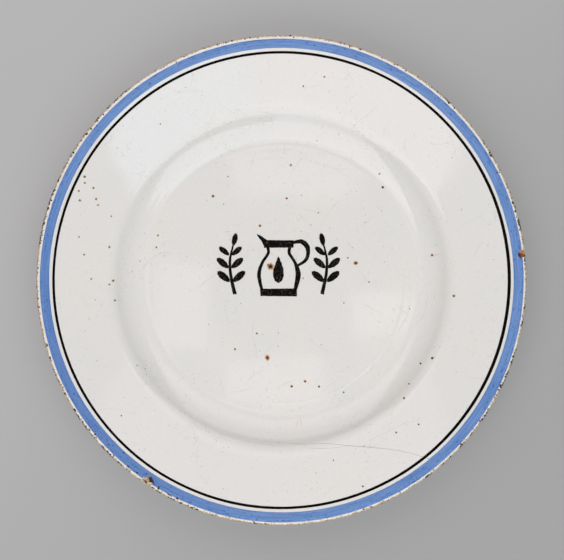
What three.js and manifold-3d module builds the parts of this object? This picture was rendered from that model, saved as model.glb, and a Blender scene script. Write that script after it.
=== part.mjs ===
// Dinner plate from the dairy service of a kosher kitchen, in white glazed earthenware.
//
// The plate is built in the order the pottery makes it: a clay body turned to one outline, three
// coats of glaze that stop short of the lip and of the standing face, and two rings of enamel on
// the rim. Every outline is a row of stations along arcs and straight lines that meet smoothly.
// A station is a point with its outward normal, so each coat is the body's own surface, sunk or
// raised by the coat's thickness.
//
// Lengths are in millimetres and angles in degrees. The plate stands on z = 0 around the z axis.

import * as THREE from 'three';
import { mergeVertices } from 'three/addons/utils/BufferGeometryUtils.js';
import Module from 'manifold-3d';

// Overall size, and the face from the lip inwards
const PLATE_DIAMETER = 245;
const FLANGE_WIDTH = 32.9;
const FLANGE_SLOPE = 10.5;
const VERGE_RADIUS = 10.6; // the rounded turn from the flange down into the well
const WALL_SLOPE = 47; // the steepest slope of the well's wall
const CAVETTO_RADIUS = 19.6; // the hollow curve from the wall to the flat floor

// Thickness of the finished ware, glaze included
const FLOOR_THICKNESS = 4.8;
const WALL_THICKNESS = 4.5;
const LIP_TOP_RADIUS = 1.1;
const LIP_UNDER_RADIUS = 2;

// Foot ring
const FOOT_OUTSET = 2.5; // from the edge of the flat floor out to the ring's outer wall
const FOOT_WIDTH = 3.6;
const FOOT_HEIGHT = 3.2; // from the standing face up to the recess inside the ring
const FOOT_EDGE_RADIUS = 0.7;
const FOOT_ROOT_RADIUS = 1.4;

// Glaze
const GLAZE_THICKNESS = 0.35;
const WIPED_HEIGHT = 0.3; // bare clay above the rounded edges of the foot ring
const BOND_GAP = 0.02; // keeps the fired layers apart as separate solids
const PIN_MARK_COUNT = 3; // scars where kiln pins held the plate by the flange
const PIN_MARK_RADIUS = 1.3;
const PIN_MARK_FIRST_ANGLE = 90;

// Enamel rings
const ENAMEL_THICKNESS = 0.15;
const BAND_WIDTH = 5;
const LINE_WIDTH = 1.3;
const BAND_TO_LINE = 1.55; // white glaze between the two rings

// Steps that the round stretches are drawn with
const TURN_SEGMENTS = 60;
const CAVETTO_STEPS = 5;
const VERGE_STEPS = 4;
const LIP_STEPS = 3;
const FILLET_STEPS = 3;
const PIN_MARK_SEGMENTS = 12;

const MATERIALS = {
  clay: new THREE.MeshStandardMaterial({ color: 0xcfc3ae, roughness: 0.85, metalness: 0 }),
  whiteGlaze: new THREE.MeshStandardMaterial({ color: 0xece9e4, roughness: 0.15, metalness: 0 }),
  blueEnamel: new THREE.MeshStandardMaterial({ color: 0x6a8dc4, roughness: 0.35, metalness: 0 }),
  blackEnamel: new THREE.MeshStandardMaterial({ color: 0x0b0706, roughness: 0.3, metalness: 0 }),
};

const sine = (angle) => Math.sin(THREE.MathUtils.degToRad(angle));
const cosine = (angle) => Math.cos(THREE.MathUtils.degToRad(angle));
const tangent = (angle) => Math.tan(THREE.MathUtils.degToRad(angle));

// In the outline's plane x is the distance from the axis and y the height above the table.
const at = (x, y) => new THREE.Vector2(x, y);
const direction = (angle) => at(cosine(angle), sine(angle));
const angleOf = (vector) => THREE.MathUtils.radToDeg(Math.atan2(vector.y, vector.x));

function station(x, y, normalAngle) {
  return { point: at(x, y), normal: direction(normalAngle) };
}

// Stations round an arc. The clay is inside the circle of a convex arc and outside a hollow one.
function arc({ centre, radius, from, to, steps, hollow = false }) {
  return Array.from({ length: steps + 1 }, (_, step) => {
    const angle = from + ((to - from) * step) / steps;
    const normal = direction(hollow ? angle + 180 : angle);
    return { point: centre.clone().addScaledVector(direction(angle), radius), normal };
  });
}

// Where the face's arcs and lines meet. The floor takes the width that the rest leaves over.
function layOutFace() {
  const plateRadius = PLATE_DIAMETER / 2;
  const lipStart = plateRadius - LIP_TOP_RADIUS * (1 + sine(FLANGE_SLOPE));
  const flangeStart = lipStart - FLANGE_WIDTH;
  const wallTop = flangeStart - VERGE_RADIUS * (sine(WALL_SLOPE) - sine(FLANGE_SLOPE));
  const floorRadius = wallTop - CAVETTO_RADIUS * sine(WALL_SLOPE);

  const floorHeight = FOOT_HEIGHT + FLOOR_THICKNESS;
  const wallTopHeight = floorHeight + CAVETTO_RADIUS * (1 - cosine(WALL_SLOPE));
  const vergeCentre = at(
    flangeStart + VERGE_RADIUS * sine(FLANGE_SLOPE),
    wallTopHeight - VERGE_RADIUS * cosine(WALL_SLOPE),
  );
  const flangeHeight = vergeCentre.y + VERGE_RADIUS * cosine(FLANGE_SLOPE);

  return {
    plateRadius,
    lipStart,
    flangeStart,
    floorRadius,
    floorHeight,
    cavettoCentre: at(floorRadius, floorHeight + CAVETTO_RADIUS),
    vergeCentre,
    heightOnFlange: (x) => flangeHeight + (x - flangeStart) * tangent(FLANGE_SLOPE),
  };
}

// The rings are set out inwards from the start of the lip, each as its inner and outer radius.
function layOutRings(face) {
  const bandInner = face.lipStart - BAND_WIDTH;
  const lineOuter = bandInner - BAND_TO_LINE;
  return {
    band: { inner: bandInner, outer: face.lipStart },
    line: { inner: lineOuter - LINE_WIDTH, outer: lineOuter },
  };
}

// The fillet at the foot ring's root touches the ring's wall and the back of the cavetto.
function layOutFoot(face) {
  const outerRadius = face.floorRadius + FOOT_OUTSET;
  const reach = CAVETTO_RADIUS + WALL_THICKNESS + FOOT_ROOT_RADIUS;
  const rootCentre = at(outerRadius + FOOT_ROOT_RADIUS, 0);
  const across = rootCentre.x - face.cavettoCentre.x;
  rootCentre.y = face.cavettoCentre.y - Math.sqrt(reach ** 2 - across ** 2);
  const glazeStart = FOOT_EDGE_RADIUS + WIPED_HEIGHT;
  return {
    outerRadius,
    innerRadius: outerRadius - FOOT_WIDTH,
    rootCentre,
    glazeStart,
    innerRootRadius: Math.min(FOOT_ROOT_RADIUS, FOOT_HEIGHT - glazeStart),
  };
}

// The face, from the axis over the floor, the cavetto, the verge and the flange to the lip.
function faceStations(face) {
  return [
    station(0, face.floorHeight, 90),
    ...arc({
      centre: face.cavettoCentre,
      radius: CAVETTO_RADIUS,
      from: -90,
      to: WALL_SLOPE - 90,
      steps: CAVETTO_STEPS,
      hollow: true,
    }),
    ...arc({
      centre: face.vergeCentre,
      radius: VERGE_RADIUS,
      from: 90 + WALL_SLOPE,
      to: 90 + FLANGE_SLOPE,
      steps: VERGE_STEPS,
    }).slice(1),
    station(face.lipStart, face.heightOnFlange(face.lipStart), 90 + FLANGE_SLOPE),
  ];
}

// The rounded lip, from the face over the plate's widest point to the back.
function lipStations(face) {
  const height = face.heightOnFlange(face.lipStart) - LIP_TOP_RADIUS * cosine(FLANGE_SLOPE);
  return [
    ...arc({
      centre: at(face.plateRadius - LIP_TOP_RADIUS, height),
      radius: LIP_TOP_RADIUS,
      from: 90 + FLANGE_SLOPE,
      to: 0,
      steps: LIP_STEPS,
    }),
    ...arc({
      centre: at(face.plateRadius - LIP_UNDER_RADIUS, height),
      radius: LIP_UNDER_RADIUS,
      from: 0,
      to: FLANGE_SLOPE - 90,
      steps: LIP_STEPS,
    }).slice(1),
  ];
}

// The back, from the lip under the flange and the well's wall to the glaze's end on the foot ring.
function backStations(face, lip, foot) {
  const rootTop = angleOf(face.cavettoCentre.clone().sub(foot.rootCentre));
  return [
    lip.at(-1),
    ...arc({
      centre: face.vergeCentre,
      radius: VERGE_RADIUS - WALL_THICKNESS,
      from: 90 + FLANGE_SLOPE,
      to: 90 + WALL_SLOPE,
      steps: VERGE_STEPS,
      hollow: true,
    }),
    ...arc({
      centre: face.cavettoCentre,
      radius: CAVETTO_RADIUS + WALL_THICKNESS,
      from: WALL_SLOPE - 90,
      to: rootTop - 180,
      steps: CAVETTO_STEPS,
    }).slice(1),
    ...arc({
      centre: foot.rootCentre,
      radius: FOOT_ROOT_RADIUS,
      from: rootTop,
      to: 180,
      steps: FILLET_STEPS,
      hollow: true,
    }).slice(1),
    station(foot.outerRadius, foot.glazeStart, 0),
  ];
}

// The bare foot ring, from its outer wall round the standing face to its inner wall.
function footStations(foot) {
  const edge = { radius: FOOT_EDGE_RADIUS, steps: FILLET_STEPS };
  return [
    station(foot.outerRadius, foot.glazeStart, 0),
    ...arc({
      ...edge,
      centre: at(foot.outerRadius - FOOT_EDGE_RADIUS, FOOT_EDGE_RADIUS),
      from: 0,
      to: -90,
    }),
    ...arc({
      ...edge,
      centre: at(foot.innerRadius + FOOT_EDGE_RADIUS, FOOT_EDGE_RADIUS),
      from: -90,
      to: -180,
    }),
    station(foot.innerRadius, foot.glazeStart, 180),
  ];
}

// The recess inside the foot ring, from the glaze's end on the inner wall to the axis.
function baseStations(foot) {
  const rootRadius = foot.innerRootRadius;
  return [
    station(foot.innerRadius, foot.glazeStart, 180),
    ...arc({
      centre: at(foot.innerRadius - rootRadius, FOOT_HEIGHT - rootRadius),
      radius: rootRadius,
      from: 0,
      to: 90,
      steps: FILLET_STEPS,
      hollow: true,
    }),
    station(0, FOOT_HEIGHT, -90),
  ];
}

// The stations' points, moved into the clay by a depth.
function sunk(stations, depth) {
  return stations.map(({ point, normal }) => point.clone().addScaledVector(normal, -depth));
}

// An end station moved by the bond gap towards its neighbour, unless it lies on the axis.
function drawnIn(end, neighbour) {
  if (end.point.x === 0) return end;
  const step = neighbour.point.clone().sub(end.point).setLength(BOND_GAP);
  return { point: end.point.clone().add(step), normal: end.normal };
}

// The outline of the clay under the glaze, with the bare lip and foot ring at full thickness.
function clayOutline({ face, lip, back, foot, base }) {
  const depth = GLAZE_THICKNESS + BOND_GAP;
  return [
    ...sunk(face, depth),
    ...sunk(lip, 0),
    ...sunk(back, depth),
    ...sunk(foot, 0),
    ...sunk(base, depth),
  ];
}

// The outline of a coat of glaze. It stops just short of the bare clay at its ends.
function glazeOutline(stations) {
  const first = drawnIn(stations[0], stations[1]);
  const last = drawnIn(stations.at(-1), stations.at(-2));
  const coat = [first, ...stations.slice(1, -1), last];
  const outline = [...sunk(coat, 0), ...sunk(coat, GLAZE_THICKNESS).reverse()];
  return [...outline, outline[0]];
}

// An enamel ring's outline on the glaze. Its edges slope in, as brushed colour settles.
function enamelOutline(face, ring) {
  const normal = direction(90 + FLANGE_SLOPE);
  const along = direction(FLANGE_SLOPE);
  const place = (x, raise, inset) =>
    at(x, face.heightOnFlange(x)).addScaledVector(normal, raise).addScaledVector(along, inset);
  const top = BOND_GAP + ENAMEL_THICKNESS;
  const outline = [
    place(ring.inner, BOND_GAP, 0),
    place(ring.inner, top, ENAMEL_THICKNESS),
    place(ring.outer, top, -ENAMEL_THICKNESS),
    place(ring.outer, BOND_GAP, 0),
  ];
  return [...outline, outline[0]];
}

// Turns an outline about the plate's axis. The lathe's own axis is y, so the result is stood up.
function turned(outline) {
  const geometry = new THREE.LatheGeometry(outline.toReversed(), TURN_SEGMENTS);
  geometry.rotateX(Math.PI / 2);
  return geometry;
}

// The pins that held the plate in the kiln, each square to the middle of the flange's back.
function kilnPins(back) {
  const outer = back[0].point;
  const inner = back[1].point;
  const middle = outer.clone().lerp(inner, 0.5);
  const slope = Math.atan2(outer.y - inner.y, outer.x - inner.x);
  const length = 4 * GLAZE_THICKNESS; // more than enough to pass the coat on both sides
  return Array.from({ length: PIN_MARK_COUNT }, (_, index) => {
    const turn = PIN_MARK_FIRST_ANGLE + (index * 360) / PIN_MARK_COUNT;
    const pin = new THREE.CylinderGeometry(
      PIN_MARK_RADIUS,
      PIN_MARK_RADIUS,
      length,
      PIN_MARK_SEGMENTS,
    );
    pin.rotateX(Math.PI / 2);
    pin.rotateY(-slope);
    pin.translate(middle.x, 0, middle.y);
    pin.rotateZ(THREE.MathUtils.degToRad(turn));
    return pin;
  });
}

const wasm = await Module();
wasm.setup();

function toSolid(geometry) {
  const bare = geometry.clone();
  bare.deleteAttribute('normal');
  bare.deleteAttribute('uv');
  const merged = mergeVertices(bare);
  const mesh = new wasm.Mesh({
    numProp: 3,
    vertProperties: merged.getAttribute('position').array,
    triVerts: Uint32Array.from(merged.index.array),
  });
  return new wasm.Manifold(mesh);
}

function toGeometry(solid) {
  const mesh = solid.getMesh();
  const geometry = new THREE.BufferGeometry();
  geometry.setAttribute('position', new THREE.BufferAttribute(mesh.vertProperties, 3));
  geometry.setIndex(new THREE.BufferAttribute(mesh.triVerts, 1));
  geometry.computeVertexNormals();
  return geometry;
}

function pierced(geometry, pins) {
  return toGeometry(pins.reduce((solid, pin) => solid.subtract(toSolid(pin)), toSolid(geometry)));
}

function named(name, geometry, material) {
  const mesh = new THREE.Mesh(geometry, material);
  mesh.name = name;
  return mesh;
}

function buildPlate() {
  const face = layOutFace();
  const rings = layOutRings(face);
  const foot = layOutFoot(face);

  const stations = { face: faceStations(face), lip: lipStations(face) };
  stations.back = backStations(face, stations.lip, foot);
  stations.foot = footStations(foot);
  stations.base = baseStations(foot);

  const coat = (row) => turned(glazeOutline(row));
  const ring = (edges) => turned(enamelOutline(face, edges));
  const backGlaze = pierced(coat(stations.back), kilnPins(stations.back));

  const plate = new THREE.Group();
  plate.add(
    named('clay_body', turned(clayOutline(stations)), MATERIALS.clay),
    named('face_glaze', coat(stations.face), MATERIALS.whiteGlaze),
    named('back_glaze', backGlaze, MATERIALS.whiteGlaze),
    named('base_glaze', coat(stations.base), MATERIALS.whiteGlaze),
    named('blue_rim_band', ring(rings.band), MATERIALS.blueEnamel),
    named('black_rim_line', ring(rings.line), MATERIALS.blackEnamel),
  );
  return plate;
}

export default buildPlate();
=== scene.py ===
"""Dinner plate from the dairy service of a kosher kitchen, in old white glazed earthenware.

The pieces follow the pottery's work and the table's: the turned clay body, three coats of white
glaze, two enamel rings and a painted jug, then the flaws of the kiln and the wear of use.
Lengths are millimetres and angles are degrees, until a mesh is handed to Blender in metres.
"""

import json
import logging
import math
from collections.abc import Callable, Iterable, Mapping, Sequence
from dataclasses import dataclass, field
from enum import Enum
from itertools import pairwise
from typing import Any, ClassVar

import bmesh
import bpy
from bpy.types import ID, Material, Mesh, Node, NodeSocket, NodeTree, Object
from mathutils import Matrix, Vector, noise


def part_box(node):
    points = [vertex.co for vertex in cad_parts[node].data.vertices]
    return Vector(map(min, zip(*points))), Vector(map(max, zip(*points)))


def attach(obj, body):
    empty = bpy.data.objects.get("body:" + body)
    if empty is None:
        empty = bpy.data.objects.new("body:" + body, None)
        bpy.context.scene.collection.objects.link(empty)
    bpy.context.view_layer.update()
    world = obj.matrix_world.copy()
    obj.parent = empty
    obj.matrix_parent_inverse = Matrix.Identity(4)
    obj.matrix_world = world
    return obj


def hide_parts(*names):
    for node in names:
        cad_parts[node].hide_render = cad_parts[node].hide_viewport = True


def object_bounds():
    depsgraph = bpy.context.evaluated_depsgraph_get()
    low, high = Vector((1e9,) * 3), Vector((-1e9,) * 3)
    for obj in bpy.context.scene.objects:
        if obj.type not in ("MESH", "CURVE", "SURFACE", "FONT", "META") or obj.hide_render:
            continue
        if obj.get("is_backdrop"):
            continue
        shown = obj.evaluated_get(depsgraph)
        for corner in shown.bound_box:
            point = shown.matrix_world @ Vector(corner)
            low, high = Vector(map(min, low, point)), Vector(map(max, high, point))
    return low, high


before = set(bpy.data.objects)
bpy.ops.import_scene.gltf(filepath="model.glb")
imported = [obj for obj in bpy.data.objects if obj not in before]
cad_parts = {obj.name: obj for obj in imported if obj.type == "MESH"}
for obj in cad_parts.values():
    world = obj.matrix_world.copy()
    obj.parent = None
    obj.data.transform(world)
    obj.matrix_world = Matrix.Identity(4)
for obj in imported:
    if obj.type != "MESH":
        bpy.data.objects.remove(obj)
CAD_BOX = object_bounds()
LOG = logging.getLogger("dairy_plate")

MM = 0.001
CENTIMETRE = 10 * MM
BODY = "root"
SHARE = "share"  # how thickly flaws lie at a point of a surface, from 0 to 1
STAIN = "stain"  # how far iron has stained the glaze at a point, from 0 to 1

THINNEST = 0.03  # no ribbon is narrower
HAND_SEED = 7  # keeps the trembles of the hand the same in each run
UNDERLAP = -0.05  # how deep the underside of what lies on the glaze is sunk in it
CROWN_SHARE = 0.3  # the least of its half width that a ribbon keeps at its crown
LUMP_DETAIL = 1.5  # how many dents a broken lump has across
SHARP_FROM = math.radians(38)  # the angle between two faces from which their edge shows

Point = tuple[float, float]


class Section(Enum):
    """Ribbons cut across: for each corner its side, its inset from the edge and its rise."""

    HAIRLINE = ((1, 0, -0.012), (0, 0, 0.014), (-1, 0, -0.012), (0, 0, UNDERLAP))
    BRUSHED = ((1, 0, 0), (1, 0.12, 0.12), (-1, 0.12, 0.12), (-1, 0, 0), (-1, 0, UNDERLAP), (1, 0, UNDERLAP))


def linear(colour: str) -> tuple[float, float, float, float]:
    """Turns an sRGB colour to linear light.

    Args:
        colour: Six hex digits after a hash sign.

    Returns:
        Red, green and blue in linear light, and a full alpha.
    """
    channels = (int(colour[at : at + 2], 16) / 255 for at in (1, 3, 5))
    red, green, blue = (c / 12.92 if c <= 0.04045 else ((c + 0.055) / 1.055) ** 2.4 for c in channels)
    return red, green, blue, 1.0


def add_node(
    tree: NodeTree,
    kind: str,
    settings: Mapping[str, Any] | None = None,
    inputs: Mapping[str | int, Any] | None = None,
) -> Node:
    """Adds a node with its settings and links.

    Args:
        tree: The tree that takes the node.
        kind: The node's type.
        settings: Values of the node's own properties.
        inputs: For each input, by name or number, its value, or the socket or node that feeds it.

    Returns:
        The new node.
    """
    node = tree.nodes.new(kind)
    for name, value in (settings or {}).items():
        setattr(node, name, value)
    for name, value in (inputs or {}).items():
        socket = node.inputs[name] if isinstance(name, int) else in_use(node.inputs, name)
        given = in_use(value.outputs) if isinstance(value, Node) else value
        if isinstance(given, NodeSocket):
            tree.links.new(given, socket)
        else:
            socket.default_value = given
    return node


def in_use(sockets: Iterable[NodeSocket], name: str = "") -> NodeSocket:
    """Finds the first socket in use, of those with this name where one is given."""
    return next(socket for socket in sockets if socket.enabled and name in ("", socket.name))


def stand(name: str, data: ID) -> Object:
    """Puts a new object in the scene.

    Args:
        name: The object's name.
        data: Its mesh, lamp or lens.

    Returns:
        The object, at the origin.
    """
    thing = bpy.data.objects.new(name, data)
    bpy.context.scene.collection.objects.link(thing)
    return thing


def sine(angle: float) -> float:
    """Gives the sine of an angle in degrees."""
    return math.sin(math.radians(angle))


def cosine(angle: float) -> float:
    """Gives the cosine of an angle in degrees."""
    return math.cos(math.radians(angle))


def smooth_step(value: float, low: float, high: float) -> float:
    """Rises smoothly from 0 at low to 1 at high."""
    share = min(1.0, max(0.0, (value - low) / (high - low)))
    return share * share * (3 - 2 * share)


def bell(value: float, middle: float, reach: float) -> float:
    """Falls off from 1 at the middle to both sides, within the reach."""
    return math.exp(-(((value - middle) / reach) ** 2))


@dataclass(frozen=True)
class Station:
    """A point of the plate's outline, with the direction out of the ware there.

    In the outline's plane x is the distance from the axis and y the height over the table.
    """

    x: float
    y: float
    outward: float

    def sunk(self, depth: float) -> Point:
        """Gives the point that lies this deep in the ware."""
        return self.x - depth * cosine(self.outward), self.y - depth * sine(self.outward)


@dataclass(frozen=True)
class Arc:
    """A round stretch of the outline. The ware is inside a convex arc and outside a hollow one."""

    centre: Point
    radius: float
    start: float
    end: float
    hollow: bool = False

    def stations(self, steps: int) -> list[Station]:
        """Sets stations at even steps along the arc.

        Args:
            steps: How many steps the arc takes.

        Returns:
            One station more than there are steps.
        """
        angles = (self.start + (self.end - self.start) * step / steps for step in range(steps + 1))
        flip = 180 if self.hollow else 0
        x, y = self.centre
        return [
            Station(x + self.radius * cosine(angle), y + self.radius * sine(angle), angle + flip)
            for angle in angles
        ]


def straight(start: Station, end: Station, pitch: float) -> list[Station]:
    """Sets stations between two others, along the line that joins them.

    Args:
        start: The station before the line's own.
        end: The station after them.
        pitch: The widest step in millimetres.

    Returns:
        The stations between the two, without them.
    """
    steps = math.ceil(math.hypot(end.x - start.x, end.y - start.y) / pitch)
    shares = (step / steps for step in range(1, steps))
    return [
        Station(start.x + (end.x - start.x) * share, start.y + (end.y - start.y) * share, start.outward)
        for share in shares
    ]


@dataclass(frozen=True)
class PlateForm:
    """The outline of the finished ware, with the sizes that the pottery's template gives it."""

    plate_radius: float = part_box("clay_body")[1].x / MM
    flange_width: float = 32.9
    flange_slope: float = 10.5
    verge_radius: float = 10.6
    wall_slope: float = 47
    cavetto_radius: float = 19.6
    floor_thickness: float = 4.8
    wall_thickness: float = 4.5
    lip_top_radius: float = 1.1
    lip_under_radius: float = 2
    foot_outset: float = 2.5
    foot_width: float = 3.6
    foot_height: float = 3.2
    foot_edge_radius: float = 0.7
    foot_root_radius: float = 1.4
    wiped_height: float = 0.3
    glaze_thickness: float = 0.35
    bond_gap: float = 0.02
    band_outer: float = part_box("blue_rim_band")[1].x / MM
    band_width: float = 5.1
    line_outer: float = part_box("black_rim_line")[1].x / MM - 0.05
    line_width: float = 1.28
    enamel_thickness: float = 0.15

    @property
    def band_inner(self) -> float:
        """Where the blue band ends towards the well."""
        return self.band_outer - self.band_width

    @property
    def lip_start(self) -> float:
        """Where the flange ends and the bare lip starts."""
        return self.plate_radius - self.lip_top_radius * (1 + sine(self.flange_slope))

    @property
    def flange_start(self) -> float:
        """Where the verge ends and the flange starts."""
        return self.lip_start - self.flange_width

    @property
    def wall_top(self) -> float:
        """Where the cavetto passes into the verge, at the steepest place."""
        return self.flange_start - self.verge_radius * (sine(self.wall_slope) - sine(self.flange_slope))

    @property
    def floor_radius(self) -> float:
        """Where the flat floor of the well ends."""
        return self.wall_top - self.cavetto_radius * sine(self.wall_slope)

    @property
    def floor_height(self) -> float:
        """The height of the floor's top over the table."""
        return self.foot_height + self.floor_thickness

    @property
    def cavetto_centre(self) -> Point:
        """The centre of the hollow curve between the floor and the wall."""
        return self.floor_radius, self.floor_height + self.cavetto_radius

    @property
    def verge_centre(self) -> Point:
        """The centre of the round turn between the wall and the flange.

        Returns:
            Its distance from the axis and its height.
        """
        wall_height = self.floor_height + self.cavetto_radius * (1 - cosine(self.wall_slope))
        x = self.flange_start + self.verge_radius * sine(self.flange_slope)
        return x, wall_height - self.verge_radius * cosine(self.wall_slope)

    @property
    def lip_height(self) -> float:
        """The height of the plate's widest point."""
        drop = self.lip_top_radius * cosine(self.flange_slope)
        return self.flange_height(self.lip_start) - drop

    @property
    def foot_outer(self) -> float:
        """The outer radius of the foot ring."""
        return self.floor_radius + self.foot_outset

    @property
    def foot_inner(self) -> float:
        """The inner radius of the foot ring."""
        return self.foot_outer - self.foot_width

    @property
    def bare_height(self) -> float:
        """How far up the foot ring's walls the clay is bare."""
        return self.foot_edge_radius + self.wiped_height

    def flange_height(self, x: float) -> float:
        """Gives the height of the flange's top at a distance from the axis."""
        top = self.verge_centre[1] + self.verge_radius * cosine(self.flange_slope)
        return top + (x - self.flange_start) * math.tan(math.radians(self.flange_slope))

    def face_height(self, x: float) -> float:
        """Gives the height of the face at a distance from the axis.

        Args:
            x: The distance, up to the plate's widest point.

        Returns:
            The height over the table.
        """
        if x <= self.floor_radius:
            return self.floor_height
        if x <= self.wall_top:
            across, up = self.cavetto_centre
            return up - math.sqrt(self.cavetto_radius**2 - (x - across) ** 2)
        if x <= self.flange_start:
            across, up = self.verge_centre
            return up + math.sqrt(self.verge_radius**2 - (x - across) ** 2)
        if x <= self.lip_start:
            return self.flange_height(x)
        across = self.plate_radius - self.lip_top_radius
        return self.lip_height + math.sqrt(max(0.0, self.lip_top_radius**2 - (x - across) ** 2))

    def enamel_rise(self, x: float) -> float:
        """Gives how high the band's enamel stands over the glaze at a distance from the axis."""
        return self.bond_gap + self.enamel_thickness if self.band_inner < x < self.band_outer else 0.0

    def face(self, pitch: float, steps: int) -> list[Station]:
        """Sets the stations of the face, from the axis to the lip.

        Args:
            pitch: The widest step on the floor and the flange.
            steps: How many steps the cavetto takes. The verge takes as many.

        Returns:
            The stations from the middle of the floor outwards.
        """
        middle = Station(0, self.floor_height, 90)
        cavetto = Arc(self.cavetto_centre, self.cavetto_radius, -90, self.wall_slope - 90, hollow=True)
        verge = Arc(self.verge_centre, self.verge_radius, 90 + self.wall_slope, 90 + self.flange_slope)
        low, high = cavetto.stations(steps), verge.stations(steps)[1:]
        end = Station(self.lip_start, self.flange_height(self.lip_start), 90 + self.flange_slope)
        return [middle, *straight(middle, low[0], pitch), *low, *high, *straight(high[-1], end, pitch), end]

    def lip(self, steps: int) -> list[Station]:
        """Sets the stations of the rounded lip, from the face to the back.

        Args:
            steps: How many steps each of its two arcs takes.

        Returns:
            The stations over the plate's widest point.
        """
        top_centre = self.plate_radius - self.lip_top_radius, self.lip_height
        under_centre = self.plate_radius - self.lip_under_radius, self.lip_height
        top = Arc(top_centre, self.lip_top_radius, 90 + self.flange_slope, 0)
        under = Arc(under_centre, self.lip_under_radius, 0, self.flange_slope - 90)
        return [*top.stations(steps), *under.stations(steps)[1:]]

    def back(self, pitch: float, steps: int) -> list[Station]:
        """Sets the stations of the back, from the lip to the glaze's end on the foot ring.

        Args:
            pitch: The widest step under the flange.
            steps: How many steps each round stretch takes.

        Returns:
            The stations from the lip inwards and down.
        """
        start = self.lip(steps)[-1]
        reach = self.cavetto_radius + self.wall_thickness + self.foot_root_radius
        root_x = self.foot_outer + self.foot_root_radius
        across = root_x - self.cavetto_centre[0]
        root = root_x, self.cavetto_centre[1] - math.sqrt(reach**2 - across**2)
        root_top = math.degrees(math.atan2(self.cavetto_centre[1] - root[1], -across))
        thin = self.verge_radius - self.wall_thickness
        turn = Arc(self.verge_centre, thin, 90 + self.flange_slope, 90 + self.wall_slope, hollow=True)
        thick = self.cavetto_radius + self.wall_thickness
        wall = Arc(self.cavetto_centre, thick, self.wall_slope - 90, root_top - 180)
        fillet = Arc(root, self.foot_root_radius, root_top, 180, hollow=True)
        rounds = [*turn.stations(steps), *wall.stations(steps)[1:], *fillet.stations(steps)[1:]]
        line = straight(start, rounds[0], pitch)
        return [start, *line, *rounds, Station(self.foot_outer, self.bare_height, 0)]

    def foot(self, steps: int) -> list[Station]:
        """Sets the stations of the bare foot ring, from its outer wall to its inner wall.

        Args:
            steps: How many steps each rounded edge takes.

        Returns:
            The stations round the standing face.
        """
        edge = self.foot_edge_radius
        outer = Arc((self.foot_outer - edge, edge), edge, 0, -90)
        inner = Arc((self.foot_inner + edge, edge), edge, -90, -180)
        first, last = Station(self.foot_outer, self.bare_height, 0), Station(self.foot_inner, self.bare_height, 180)
        return [first, *outer.stations(steps), *inner.stations(steps), last]

    def base(self, pitch: float, steps: int) -> list[Station]:
        """Sets the stations of the recess inside the foot ring, from the ring to the axis.

        Args:
            pitch: The widest step across the recess.
            steps: How many steps the fillet takes.

        Returns:
            The stations from the foot ring inwards.
        """
        root = min(self.foot_root_radius, self.foot_height - self.bare_height)
        start = Station(self.foot_inner, self.bare_height, 180)
        fillet = Arc((self.foot_inner - root, self.foot_height - root), root, 0, 90, hollow=True).stations(steps)
        middle = Station(0, self.foot_height, -90)
        return [start, *fillet, *straight(fillet[-1], middle, pitch), middle]

    def coat(self, stations: Sequence[Station]) -> list[Point]:
        """Draws the closed outline of a coat of glaze on the clay.

        Args:
            stations: The coat's outer surface.

        Returns:
            The outline's points, down the outside and back along the clay.
        """
        outside = [station.sunk(0) for station in stations]
        return [*outside, *(station.sunk(self.glaze_thickness) for station in reversed(stations))]


FORM = PlateForm()


@dataclass(frozen=True)
class Handwork:
    """What the wheel, drying and firing do to the true form, as a small rise of every point."""

    warp: float = 0.22  # how far the flange leaves its plane
    warp_turn: float = 35.0
    third_lobe: float = 0.35  # the warp in three lobes beside that in two
    wave: float = 0.028  # the slow unevenness of the whole ware
    wave_length: float = 30.0
    ripple: float = 0.004  # the unevenness of thick glaze
    ripple_length: float = 7.0
    template_ridges: tuple[Point, ...] = ((65.8, 0.022), (70.0, -0.012))  # radius and height
    ridge_width: float = 1.3
    ridge_fade: float = 55.0  # how far round the plate a ridge stays before it fades

    def rise(self, x: float, y: float) -> float:
        """Gives how far a point is lifted.

        Args:
            x: The point's place across the plate.
            y: Its place along the plate.

        Returns:
            The rise in millimetres.
        """
        radius, angle = math.hypot(x, y), math.atan2(y, x)
        lobes = math.cos(2 * (angle - math.radians(self.warp_turn))) + self.third_lobe * math.cos(3 * angle)
        warped = self.warp * lobes * smooth_step(radius, FORM.floor_radius, FORM.plate_radius)
        slow = self.wave * noise.noise(Vector((x, y, 0)) / self.wave_length)
        fast = self.ripple * noise.noise(Vector((x, y, self.wave_length)) / self.ripple_length)
        ridges = 0.0
        for place, height in self.template_ridges:
            fading = 0.5 + noise.noise(Vector((x, y, place)) / self.ridge_fade)
            ridges += height * bell(radius, place, self.ridge_width) * fading
        return warped + slow + fast + ridges

    def settled(self, point: Vector) -> Vector:
        """Gives a point of the true form its place on the real plate, in metres."""
        return Vector((point.x, point.y, point.z + self.rise(point.x, point.y))) * MM


HAND = Handwork()


def on_face(x: float, y: float, rise: float = 0.0) -> Vector:
    """Finds a point of the face, or just over or under it.

    Args:
        x: The place across the plate.
        y: The place along it.
        rise: How far the point lies out of the glaze, square to it.

    Returns:
        The point in millimetres, before handwork.
    """
    return Vector((x, y, FORM.face_height(math.hypot(x, y)))) + face_normal(x, y) * rise


def face_normal(x: float, y: float) -> Vector:
    """Gives the direction out of the face at a place on the plate.

    Args:
        x: The place across the plate.
        y: The place along it.

    Returns:
        The direction, one long.
    """
    reach = 0.02
    radius = max(math.hypot(x, y), reach)
    slope = (FORM.face_height(radius + reach) - FORM.face_height(radius - reach)) / (2 * reach)
    return Vector((-slope * x / radius, -slope * y / radius, 1)).normalized()


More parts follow.
